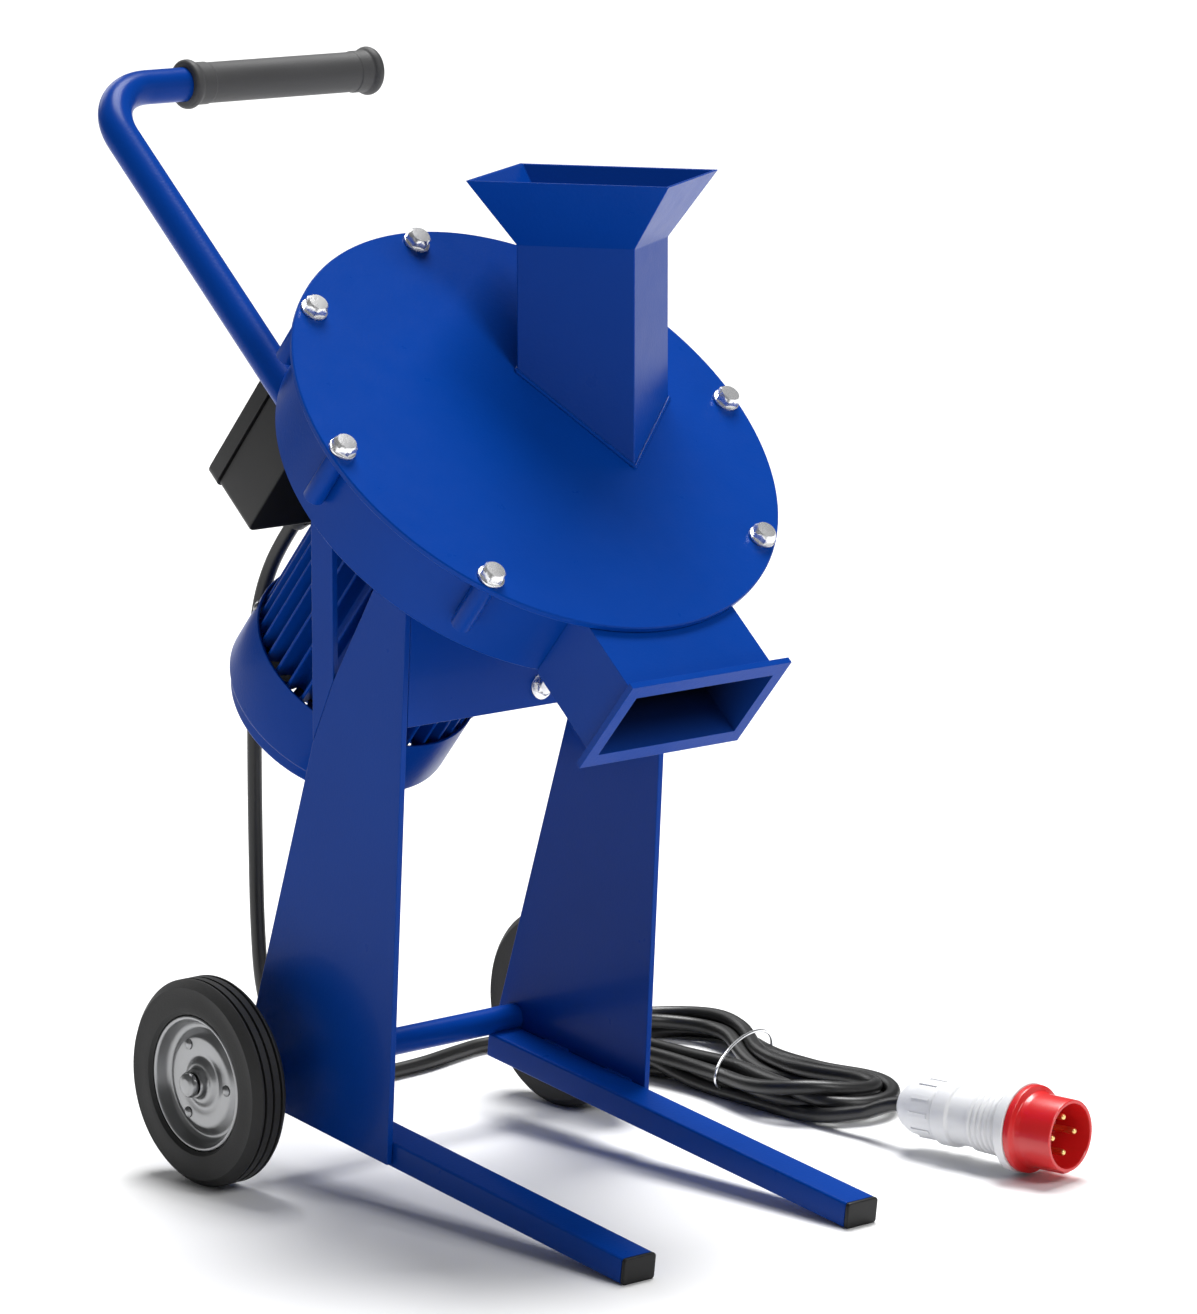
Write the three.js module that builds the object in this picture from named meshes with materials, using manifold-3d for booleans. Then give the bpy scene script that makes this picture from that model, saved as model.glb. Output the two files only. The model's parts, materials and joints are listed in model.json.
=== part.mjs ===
// A small hammer mill on a wheeled stand: a tilted drum with a bolted cover and a feed hopper, a motor
// that carries the rotor on its own shaft, and a rubber cable with a red 400 V plug.
// Millimetres, +Z up, X to the right, Y to the back. The origin is under the middle of the machine.
import * as THREE from "three";
import { mergeVertices } from "three/addons/utils/BufferGeometryUtils.js";
import Module from "manifold-3d";

const wasm = await Module();
wasm.setup();

// ---------------------------------------------------------------- driving dimensions
const deg = THREE.MathUtils.degToRad;
const GAP = 0.3; // between faces that touch on the real machine

// stand
const RAIL = { width: 30, height: 20, wall: 2, length: 424, spacing: 222, slope: deg(7.38) };
const CAP = { head: 4, plug: 18 };
const SIDE_PLATE = { thickness: 5, footFront: 256.4, footRear: 438, aboveRail: 3, topRear: -43, lean: deg(3.5) };
const STRUT = { front: 316, width: 25, footFront: 397, footRear: 347 };
const FRONT_PLATE = { thickness: 4, bottom: 372.8 };
const AXLE = { y: 410.3, z: 80, rodRadius: 6, proud: 1, tubeRadius: 10.65, tubeWall: 2.6 };
const AXLE_CAP = { radius: 10, height: 6 };
const WHEEL = { radius: 80, width: 32, fromPlate: 32.7, shoulder: 6, shoulderDrop: 8, bead: 4, beadDrop: 3 };
const RIM = {
  radius: 52.7, band: 26, heel: 4.7, lip: 3.2, hub: 11, sheet: 4,
  dish: 36, dishDepth: 3, well: 22, wellDepth: 5, fromPlate: 2,
};

// mill, in its own tilted frame: x to the right, y up the slope, z along the rotor's axis
const MILL = { y: 233, z: 586.3, tilt: deg(40.97) };
const COVER = { radius: 200, thickness: 5 };
const DRUM = { radius: 181.6, wall: 4, depth: 75, back: 5, spigotHole: 35 };
const BOLT = { circle: 188, shank: 4.9, head: 9.8, headHeight: 7, washer: 10.5, washerHeight: 2, length: 40 };
const BOLT_ANGLES = [0, 45, 90, 135, 180, 225, 315];
const BOSS = { radius: 8, length: 46, bore: 5.5 };
const DUCT = { width: 140, wall: 3, end: 252, lipX: 8, lipZ: 10, lip: 5 };
const HOPPER = { x: 74, y: 256.3, turn: deg(-58.5), wide: 92, narrow: 88, wall: 3, top: 716, rim: 765.6 };
const FUNNEL = { wide: 158, narrow: 132 };
const ROTOR_Y = 20.6; // the rotor sits this far above the drum's centre, so that the screen has room below

// rotor
const ROTOR = { disc: 84, discThickness: 5, pitch: 16, hub: 26, hubLength: 48, firstDisc: 6.5, clearance: 4 };
const ROTOR_BOLT = { shank: 4.9, length: 26, washerHeight: 3, washerInset: 4, head: 10.5, headHeight: 6 };
const PIN = { circle: 68, radius: 6, headRadius: 9, head: 2 };
const HAMMER = { length: 64, width: 30, thickness: 6 };
const SCREEN = { radius: 139, thickness: 2, frontGap: 2, from: deg(190), to: deg(350), hole: 8, columns: 7, rows: 2 };

// motor, switch box and handle, with their depths measured back from the drum's rear face
const FLANGE = { radius: 80, rear: -12, spigot: 3, shaftGap: 1, boss: 8 };
const MOTOR = { finTip: 90, finRoot: 75, fins: 36, finThickness: 3, finTaper: 1.4, bore: 62, rear: -218, rearWall: 8 };
const STATOR = { bore: 40.5, front: -43, rear: -177 };
const SHAFT = { radius: 12, rearRadius: 9.5, rear: -263, collar: 4, collarLength: 6 };
const BEARING = { front: 26, frontWidth: 15, rear: 23.5, rearWidth: 14, stop: 2 };
const COWL = { radius: 93.7, endRadius: 86.3, wall: 2, step: -268, rear: -285, front: -210, lap: 20, corner: 8 };
const COWL_SLOT = { rings: 2, first: 34, pitch: 24, halfWidth: 6, web: 5 };
const FAN = { disc: 62, radius: 76, hub: 18, blades: 7, bladeThickness: 3, discThickness: 3, front: -228, rear: -257 };
const PAD = { halfWidth: 35, sunk: 5, inset: 25 };
const BOX = { left: -90, right: 66, bottom: 114, split: 163, top: 177, rear: -157, front: -37, wall: 3, lidLip: 2 };
const BUTTON = { radius: 11, travel: 4, proud: 6, shoulder: 2, spare: 2, startX: -45, stopX: 15 };
const MUSHROOM = { overhang: 6, height: 8 };
const GLAND = { x: -12, y: 140, hex: 13, collar: 8, tip: 9, length: 30, taper: 6 };

// handle
const HANDLE = { x: -112.4, z: -13.8, tube: 13.45, wall: 2.6, footLap: 5.925, reach: 449.2, bend: 52 };
const GRIP = { start: -24, length: 190, radius: 16.8, bead: 19.5, beadWidth: 3, taper: 5, end: 5, tubeShort: 8 };

// cable
const CABLE = { radius: 6, sides: 8 };
const COIL = { x: 338, y: 54.7, half: 176, halfWide: 88, ring: 68, height: 44, turn: deg(-6) };
const PLUG = {
  length: 159, hood: 40, depth: 34, nut: 22.5, nutLength: 39, band: 25.6, bandLength: 13, body: 23.5, step: 2,
  collar: 35.2, collarLength: 8, flare: 16, rim: 6, shroud: 28, core: 25, pin: 2.6, pinCircle: 14, pinSunk: 3,
};

// ---------------------------------------------------------------- solids
function solid(geometry) {
  const bare = new THREE.BufferGeometry();
  bare.setAttribute("position", geometry.getAttribute("position"));
  bare.setIndex(geometry.index);
  const merged = mergeVertices(bare, 1e-4);
  return new wasm.Manifold(
    new wasm.Mesh({
      numProp: 3,
      vertProperties: merged.attributes.position.array,
      triVerts: new Uint32Array(merged.index.array),
    }),
  );
}

function geometryOf(body) {
  const mesh = body.getMesh();
  const geometry = new THREE.BufferGeometry();
  geometry.setAttribute("position", new THREE.BufferAttribute(mesh.vertProperties, 3));
  geometry.setIndex(new THREE.BufferAttribute(mesh.triVerts, 1));
  return geometry;
}

const join = (...pieces) => geometryOf(pieces.map(solid).reduce((a, b) => a.add(b)));
const cut = (piece, ...tools) => geometryOf(tools.map(solid).reduce((a, b) => a.subtract(b), solid(piece)));

const block = (x0, x1, y0, y1, z0, z1) =>
  new THREE.BoxGeometry(x1 - x0, y1 - y0, z1 - z0).translate((x0 + x1) / 2, (y0 + y1) / 2, (z0 + z1) / 2);

// a cylinder along Z
const rod = (radius, z0, z1, sides = 24) =>
  new THREE.CylinderGeometry(radius, radius, z1 - z0, sides).rotateX(Math.PI / 2).translate(0, 0, (z0 + z1) / 2);

// a solid of revolution about Z, from a profile of [radius, z] that runs anticlockwise
const turned = (profile, sides = 36) =>
  new THREE.LatheGeometry(profile.map(([r, z]) => new THREE.Vector2(r, z)), sides).rotateX(Math.PI / 2);

const ring = (outer, inner, z0, z1, sides = 24) =>
  turned([[inner, z0], [outer, z0], [outer, z1], [inner, z1], [inner, z0]], sides);

const flat = (points, thickness) =>
  new THREE.ExtrudeGeometry(new THREE.Shape(points.map(([x, y]) => new THREE.Vector2(x, y))), {
    depth: thickness,
    bevelEnabled: false,
  });

// turns a shape drawn in x and y into one drawn in Y and Z, with its thickness along X
const upright = (geometry) =>
  geometry.applyMatrix4(
    new THREE.Matrix4().makeBasis(
      new THREE.Vector3(0, 1, 0),
      new THREE.Vector3(0, 0, 1),
      new THREE.Vector3(1, 0, 0),
    ),
  );

// turns a piece made along Z so that it lies along X
const crosswise = (geometry) => geometry.rotateY(Math.PI / 2);

const material = (color, roughness, metalness = 0) => new THREE.MeshStandardMaterial({ color, roughness, metalness });
const BLUE = material(0x103f9a, 0.38);
const BLACK = material(0x17181a, 0.6);
const RUBBER = material(0x111112, 0.8);
const ZINC = material(0xc9ccd0, 0.3, 0.9);
const STEEL = material(0x8d9094, 0.4, 0.9);
const BRASS = material(0xc9a24a, 0.3, 1);
const COPPER_STEEL = material(0x77706a, 0.5, 0.8);
const LIGHT_GREY = material(0xd5d8da, 0.5);
const RED = material(0xd11c1c, 0.4);
const GREEN = material(0x1f9a44, 0.45);

function add(group, name, geometry, finish) {
  geometry.deleteAttribute("uv");
  const faceted = geometry.index ? geometry.toNonIndexed() : geometry;
  faceted.computeVertexNormals();
  const mesh = new THREE.Mesh(faceted, finish);
  mesh.name = name;
  group.add(mesh);
  return mesh;
}

const SIDES = [
  ["left", -1],
  ["right", 1],
];

// ---------------------------------------------------------------- places on the stand
const underRail = (y) => y * Math.tan(RAIL.slope);
const frontEdge = (z) => SIDE_PLATE.footFront - (z - underRail(SIDE_PLATE.footFront)) * Math.tan(SIDE_PLATE.lean);

// a point of the mill's frame, as Y and Z of the stand
const millPoint = (y, z) => [
  MILL.y + y * Math.cos(MILL.tilt) - z * Math.sin(MILL.tilt),
  MILL.z + y * Math.sin(MILL.tilt) + z * Math.cos(MILL.tilt),
];
const DRUM_BACK = -DRUM.depth - GAP;
// where a line at that Y meets the plane just behind the drum
const behindDrum = (y) => {
  const up = (y - MILL.y + DRUM_BACK * Math.sin(MILL.tilt)) / Math.cos(MILL.tilt);
  return millPoint(up, DRUM_BACK);
};
// where the stand's front edge meets that plane, found by stepping along the edge
const frontTop = (() => {
  let y = frontEdge(MILL.z - DRUM.depth);
  for (let step = 0; step < 40; step += 1) y = frontEdge(behindDrum(y)[1]);
  return [y, behindDrum(y)[1]];
})();

const plateInside = RAIL.spacing / 2 + RAIL.width / 2 + GAP;
const plateOutside = plateInside + SIDE_PLATE.thickness;
const wheelMiddle = plateOutside + WHEEL.fromPlate + WHEEL.width / 2;

// ---------------------------------------------------------------- stand
function makeRails(stand) {
  for (const [side, sign] of SIDES) {
    const rail = new THREE.Group();
    rail.position.x = (sign * RAIL.spacing) / 2;
    rail.rotation.x = RAIL.slope;
    stand.add(rail);
    const half = RAIL.width / 2;
    const axleY = AXLE.y * Math.cos(RAIL.slope) + AXLE.z * Math.sin(RAIL.slope);
    const axleZ = AXLE.z * Math.cos(RAIL.slope) - AXLE.y * Math.sin(RAIL.slope);
    const saddle = crosswise(rod(AXLE.tubeRadius + GAP, -RAIL.width, RAIL.width)).translate(0, axleY, axleZ);
    const tube = cut(
      block(-half, half, 0, RAIL.length, 0, RAIL.height),
      block(-half + RAIL.wall, half - RAIL.wall, -1, RAIL.length + 1, RAIL.wall, RAIL.height - RAIL.wall),
      saddle,
    );
    add(rail, `${side}_rail`, tube, BLUE);

    // the plastic end cap: a head over the tube's end and a plug inside it, cut level where it stands
    const inner = half - RAIL.wall - GAP;
    const head = block(-half, half, -CAP.head, -GAP, 0, RAIL.height);
    const plug = block(-inner, inner, -CAP.head, CAP.plug, RAIL.wall + GAP, RAIL.height - RAIL.wall - GAP);
    const floor = block(-half - 1, half + 1, -50, 50, -20, 0).rotateX(-RAIL.slope);
    add(rail, `${side}_rail_cap`, cut(join(head, plug), floor), BLACK);
  }
}

function makeSidePlates(stand) {
  const strutRear = STRUT.front + STRUT.width;
  const outline = [
    [SIDE_PLATE.footFront, underRail(SIDE_PLATE.footFront) + SIDE_PLATE.aboveRail],
    [SIDE_PLATE.footRear, underRail(SIDE_PLATE.footRear) + SIDE_PLATE.aboveRail],
    [strutRear, STRUT.footRear],
    [STRUT.front, STRUT.footFront],
    millPoint(SIDE_PLATE.topRear, DRUM_BACK),
    frontTop,
  ];
  const strut = [
    [STRUT.front, STRUT.footFront + GAP * 2],
    [strutRear, STRUT.footRear + GAP * 2],
    behindDrum(strutRear),
    behindDrum(STRUT.front),
  ];
  const hole = crosswise(rod(AXLE.rodRadius + GAP, -10, 10)).translate(0, AXLE.y, AXLE.z);
  for (const [side, sign] of SIDES) {
    const middle = (sign * (plateInside + plateOutside)) / 2;
    const centred = (shape) => upright(flat(shape, SIDE_PLATE.thickness)).translate(-SIDE_PLATE.thickness / 2, 0, 0);
    add(stand, `${side}_side_plate`, cut(centred(outline), hole), BLUE).position.x = middle;
    add(stand, `${side}_rear_strut`, centred(strut), BLUE).position.x = middle;
  }
}

function makeFrontPlate(stand) {
  const half = plateInside - GAP;
  const bottom = frontEdge(FRONT_PLATE.bottom);
  const outline = [
    [bottom, FRONT_PLATE.bottom],
    [bottom + FRONT_PLATE.thickness, FRONT_PLATE.bottom],
    behindDrum(frontTop[0] + FRONT_PLATE.thickness),
    frontTop,
  ];
  add(stand, "front_plate", upright(flat(outline, 2 * half)).translate(-half, 0, 0), BLUE);
}

function makeAxle(stand) {
  const axle = new THREE.Group();
  axle.position.set(0, AXLE.y, AXLE.z);
  stand.add(axle);
  const tubeHalf = plateInside - GAP;
  const tube = ring(AXLE.tubeRadius, AXLE.tubeRadius - AXLE.tubeWall, -tubeHalf, tubeHalf, 32);
  add(axle, "axle_tube", crosswise(tube), BLUE);
  const rodHalf = wheelMiddle + WHEEL.width / 2 + AXLE.proud;
  add(axle, "axle_rod", crosswise(rod(AXLE.rodRadius, -rodHalf, rodHalf)), ZINC);
  for (const [side, sign] of SIDES) {
    const profile = [
      [0, 0],
      [AXLE_CAP.radius, 0],
      [AXLE_CAP.radius, AXLE_CAP.height / 3],
      [AXLE_CAP.radius * 0.6, AXLE_CAP.height * 0.9],
      [0, AXLE_CAP.height],
    ];
    const cap = add(axle, `${side}_axle_cap`, crosswise(turned(profile, 20)), ZINC);
    cap.position.x = sign * (rodHalf + GAP);
    cap.rotation.z = sign < 0 ? Math.PI : 0;
  }
}

function makeWheels(stand) {
  const half = WHEEL.width / 2;
  const band = RIM.band / 2;
  const bore = AXLE.rodRadius + GAP;
  const inboard = plateOutside + RIM.fromPlate - wheelMiddle;
  // the pressed rim, with its outboard face at +Z
  const rim = [
    [bore, inboard],
    [RIM.hub, inboard],
    [RIM.hub, RIM.wellDepth - RIM.sheet],
    [RIM.dish, RIM.dishDepth],
    [RIM.radius - RIM.heel, -band],
    [RIM.radius, -band],
    [RIM.radius, band],
    [RIM.radius - RIM.lip, band],
    [RIM.dish, RIM.dishDepth + RIM.sheet],
    [RIM.well, RIM.wellDepth],
    [RIM.hub, 2 * RIM.wellDepth],
    [RIM.hub, half],
    [bore, half],
    [bore, inboard],
  ];
  const seat = RIM.radius + GAP;
  const { radius, shoulder, shoulderDrop, bead, beadDrop } = WHEEL;
  const tyre = [
    [seat, -half + beadDrop],
    [seat + bead, -half],
    [radius - shoulder, -half],
    [radius, -half + shoulderDrop],
    [radius, half - shoulderDrop],
    [radius - shoulder, half],
    [seat + bead, half],
    [seat, half - beadDrop],
    [seat, -half + beadDrop],
  ];
  for (const [side, sign] of SIDES) {
    const wheel = new THREE.Group();
    wheel.position.set(sign * wheelMiddle, AXLE.y, AXLE.z);
    wheel.rotation.y = (sign * Math.PI) / 2;
    stand.add(wheel);
    add(wheel, `${side}_wheel_rim`, turned(rim, 24), ZINC);
    add(wheel, `${side}_tyre`, turned(tyre, 36), RUBBER);
  }
}

// ---------------------------------------------------------------- mill
const onCircle = (radius, angle) => [radius * Math.cos(angle), radius * Math.sin(angle)];
const boltPlaces = BOLT_ANGLES.map((angle) => onCircle(BOLT.circle, deg(angle)));
const coverBack = -COVER.thickness;

function makeHousing(mill) {
  const front = coverBack - GAP;
  const { radius, wall, depth, back, spigotHole } = DRUM;
  const drum = turned(
    [
      [0, -depth],
      [radius, -depth],
      [radius, front],
      [radius - wall, front],
      [radius - wall, -depth + back],
      [0, -depth + back],
    ],
    56,
  );
  const spigot = rod(spigotHole, -depth - 1, -depth + back + 1, 36).translate(0, ROTOR_Y, 0);
  const bosses = boltPlaces.map(([x, y]) => rod(BOSS.radius, front - BOSS.length, front, 12).translate(x, y, 0));
  const bores = boltPlaces.map(([x, y]) => rod(BOSS.bore, front - BOSS.length - 1, front + 1, 8).translate(x, y, 0));
  const inside = DUCT.width / 2 - DUCT.wall;
  const outlet = block(-inside, inside, -radius - 20, -radius + 60, -depth + back, front - DUCT.wall);
  add(mill, "mill_housing", cut(join(drum, ...bosses), ...bores, outlet, spigot), BLUE);
}

function makeDuct(mill) {
  const half = DUCT.width / 2;
  const top = coverBack - 2 * GAP;
  const bottom = -DRUM.depth;
  const { wall, end, lip, lipX, lipZ } = DUCT;
  const box = block(-half, half, -end, 0, bottom, top);
  const flange = block(-half - lipX, half + lipX, -end, -end + lip, bottom - lipZ, top + lipZ);
  const hollow = block(-half + wall, half - wall, -end - 1, 1, bottom + wall, top - wall);
  const drum = rod(DRUM.radius + 2 * GAP, -2 * DRUM.depth, DRUM.depth, 56);
  add(mill, "discharge_duct", cut(join(box, flange), hollow, drum), BLUE);
}

// a box that follows the hopper's upright shaft, in the mill's frame
function shaftTool(inset) {
  const tool = block(
    -HOPPER.wide / 2 + inset, HOPPER.wide / 2 - inset,
    -HOPPER.narrow / 2 + inset, HOPPER.narrow / 2 - inset,
    -200, 200,
  );
  tool.rotateZ(HOPPER.turn).translate(HOPPER.x, HOPPER.y - MILL.y, 0);
  return tool.rotateX(-MILL.tilt);
}

function makeCover(mill) {
  const disc = rod(COVER.radius, coverBack, 0, 56);
  const holes = boltPlaces.map(([x, y]) => rod(BOLT.shank + 2 * GAP, coverBack - 1, 1, 12).translate(x, y, 0));
  add(mill, "front_cover", cut(disc, ...holes, shaftTool(HOPPER.wall)), BLUE);
}

function makeCoverBolts(mill) {
  const base = GAP;
  const washerTop = base + BOLT.washerHeight;
  boltPlaces.forEach(([x, y], index) => {
    const washer = rod(BOLT.washer, base, washerTop, 16);
    const head = rod(BOLT.head, washerTop - 0.1, washerTop + BOLT.headHeight, 6);
    const shank = rod(BOLT.shank, -BOLT.length, base + 0.1, 8);
    add(mill, `cover_bolt_${index + 1}`, join(washer, head, shank), ZINC).position.set(x, y, 0);
  });
}

// a four-sided shape that changes its size from bottom to top
function frustum(bottomX, bottomY, topX, topY, z0, z1) {
  const corners = (x, y, z) => [[-x / 2, -y / 2, z], [x / 2, -y / 2, z], [x / 2, y / 2, z], [-x / 2, y / 2, z]];
  const points = [...corners(bottomX, bottomY, z0), ...corners(topX, topY, z1)];
  const geometry = new THREE.BufferGeometry();
  geometry.setAttribute("position", new THREE.Float32BufferAttribute(points.flat(), 3));
  const ends = [0, 2, 1, 0, 3, 2, 4, 5, 6, 4, 6, 7];
  const sides = [0, 1, 5, 0, 5, 4, 1, 2, 6, 1, 6, 5, 2, 3, 7, 2, 7, 6, 3, 0, 4, 3, 4, 7];
  geometry.setIndex([...ends, ...sides]);
  return geometry;
}

function makeHopper(stand) {
  const hopper = new THREE.Group();
  hopper.position.set(HOPPER.x, HOPPER.y, 0);
  hopper.rotation.z = HOPPER.turn;
  stand.add(hopper);
  const { wide, narrow, wall, top, rim } = HOPPER;
  const foot = MILL.z - 150;
  const inner = 2 * wall;
  const shaft = block(-wide / 2, wide / 2, -narrow / 2, narrow / 2, foot, top + 0.1);
  const funnel = frustum(wide, narrow, FUNNEL.wide, FUNNEL.narrow, top, rim);
  const bore = block(-wide / 2 + wall, wide / 2 - wall, -narrow / 2 + wall, narrow / 2 - wall, foot - 1, top + 1);
  const mouth = frustum(wide - inner, narrow - inner, FUNNEL.wide - inner, FUNNEL.narrow - inner, top, rim);
  const above = frustum(FUNNEL.wide - inner, FUNNEL.narrow - inner, FUNNEL.wide, FUNNEL.narrow, rim - 0.01, rim + 5);
  // everything below the cover's outer face, seen from the hopper's own frame
  const under = block(-400, 400, -400, 400, -400, GAP)
    .rotateX(MILL.tilt)
    .translate(0, MILL.y, MILL.z)
    .translate(-HOPPER.x, -HOPPER.y, 0)
    .rotateZ(-HOPPER.turn);
  add(hopper, "hopper", cut(join(shaft, funnel), bore, mouth, above, under), BLUE);
}

function makeScreen(mill) {
  const { radius, thickness, from, to, hole, columns, rows } = SCREEN;
  const front = coverBack - SCREEN.frontGap;
  const rear = -DRUM.depth + DRUM.back + GAP;
  const arc = new THREE.Shape();
  arc.absarc(0, 0, radius + thickness, from, to, false);
  arc.absarc(0, 0, radius, to, from, true);
  arc.closePath();
  const sheet = new THREE.ExtrudeGeometry(arc, { depth: front - rear, bevelEnabled: false, curveSegments: 18 });
  sheet.translate(0, 0, rear);
  const punches = [];
  for (let column = 0; column < columns; column += 1) {
    for (let row = 0; row < rows; row += 1) {
      const angle = from + ((column + 0.7 + (row % 2) * 0.5) * (to - from)) / (columns + 1);
      const punch = rod(hole, radius - 5, radius + thickness + 5, 6).rotateY(Math.PI / 2);
      punch.translate(0, 0, rear + ((row + 0.5) * (front - rear)) / rows).rotateZ(angle);
      punches.push(punch);
    }
  }
  add(mill, "screen", cut(sheet, ...punches), STEEL).position.y = ROTOR_Y;
}

// ---------------------------------------------------------------- rotor
const hubRear = -DRUM.depth + DRUM.back + ROTOR.clearance;
const hubFront = hubRear + ROTOR.hubLength;
const discMiddles = [0, 1, 2].map((index) => hubRear + ROTOR.firstDisc + index * ROTOR.pitch);
const pinPlaces = [45, 135, 225, 315].map((angle) => onCircle(PIN.circle, deg(angle)));

function makeRotor(rotor) {
  const discs = discMiddles.map((z) => rod(ROTOR.disc, z - ROTOR.discThickness / 2, z + ROTOR.discThickness / 2, 28));
  const hub = rod(ROTOR.hub, hubRear, hubFront);
  const bore = rod(SHAFT.radius + GAP, hubRear - 1, hubFront + 1);
  const holes = pinPlaces.map(([x, y]) => rod(PIN.radius + 2 * GAP, hubRear, hubFront, 10).translate(x, y, 0));
  add(rotor, "rotor", cut(join(hub, ...discs), bore, ...holes), STEEL);

  const reach = ROTOR.discThickness / 2 + GAP;
  const rear = discMiddles[0] - reach;
  const front = discMiddles[discMiddles.length - 1] + reach;
  pinPlaces.forEach(([x, y], index) => {
    const shank = rod(PIN.radius, rear - 0.1, front + 0.1, 12);
    const heads = [rod(PIN.headRadius, rear - PIN.head, rear, 12), rod(PIN.headRadius, front, front + PIN.head, 12)];
    add(rotor, `hammer_pin_${index + 1}`, join(shank, ...heads), STEEL).position.set(x, y, 0);
  });

  // the hammers hang straight down the slope from their pins, in two rows that pass each other
  const half = HAMMER.width / 2;
  const outline = new THREE.Shape();
  outline.moveTo(-half, -HAMMER.length);
  outline.lineTo(half, -HAMMER.length);
  outline.lineTo(half, 0);
  outline.absarc(0, 0, half, 0, Math.PI, false);
  outline.closePath();
  const bar = new THREE.ExtrudeGeometry(outline, { depth: HAMMER.thickness, bevelEnabled: false, curveSegments: 8 });
  const eye = rod(PIN.radius + GAP, -1, HAMMER.thickness + 1, 12);
  pinPlaces.forEach(([x, y], index) => {
    const row = index % 2;
    const middle = (discMiddles[row] + discMiddles[row + 1]) / 2;
    const hammer = add(rotor, `hammer_${index + 1}`, cut(bar, eye), STEEL);
    hammer.position.set(x, y, middle - HAMMER.thickness / 2);
  });

  const { shank, length, washerHeight, washerInset, head, headHeight } = ROTOR_BOLT;
  const base = hubFront + GAP;
  const washerTop = base + washerHeight;
  const washer = rod(ROTOR.hub - washerInset, base, washerTop);
  const hexagon = rod(head, washerTop - 0.1, washerTop + headHeight, 6);
  const bolt = join(washer, hexagon, rod(shank, base - length, base + 0.1, 8));
  add(rotor, "rotor_bolt", bolt, ZINC);
}

// the motor's shaft with the pressed rotor core on it, one turned piece
function makeMotorRotor(motor) {
  const front = hubFront + DRUM.depth - GAP;
  const core = STATOR.bore - GAP * 2;
  const { radius, rearRadius, rear, collar, collarLength } = SHAFT;
  const profile = [
    [0, rear],
    [rearRadius, rear],
    [rearRadius, STATOR.rear - collarLength],
    [radius + collar, STATOR.rear - collarLength],
    [radius + collar, STATOR.rear + 2],
    [core, STATOR.rear + 2],
    [core, STATOR.front - 2],
    [radius + collar, STATOR.front - 2],
    [radius + collar, STATOR.front + collarLength],
    [radius, STATOR.front + collarLength],
    [radius, front],
    [0, front],
  ];
  const tapped = rod(ROTOR_BOLT.shank + 2 * GAP, front - ROTOR_BOLT.length - 4, front + 1, 8);
  add(motor, "motor_rotor", cut(turned(profile, 24), tapped), COPPER_STEEL);
}

function makeFan(motor) {
  const { disc, radius, hub, blades, bladeThickness, discThickness, front, rear } = FAN;
  const half = bladeThickness / 2;
  const shapes = [rod(hub, rear, front, 16), rod(disc, front - 1 - discThickness, front - 1, 28)];
  for (let index = 0; index < blades; index += 1) {
    const blade = block(hub - 2, radius, -half, half, rear, front - discThickness);
    shapes.push(blade.rotateZ((index * 2 * Math.PI) / blades));
  }
  const bore = rod(SHAFT.rearRadius + GAP, rear - 1, front + 1, 16);
  add(motor, "cooling_fan", cut(join(...shapes), bore), BLACK);
}

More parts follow.
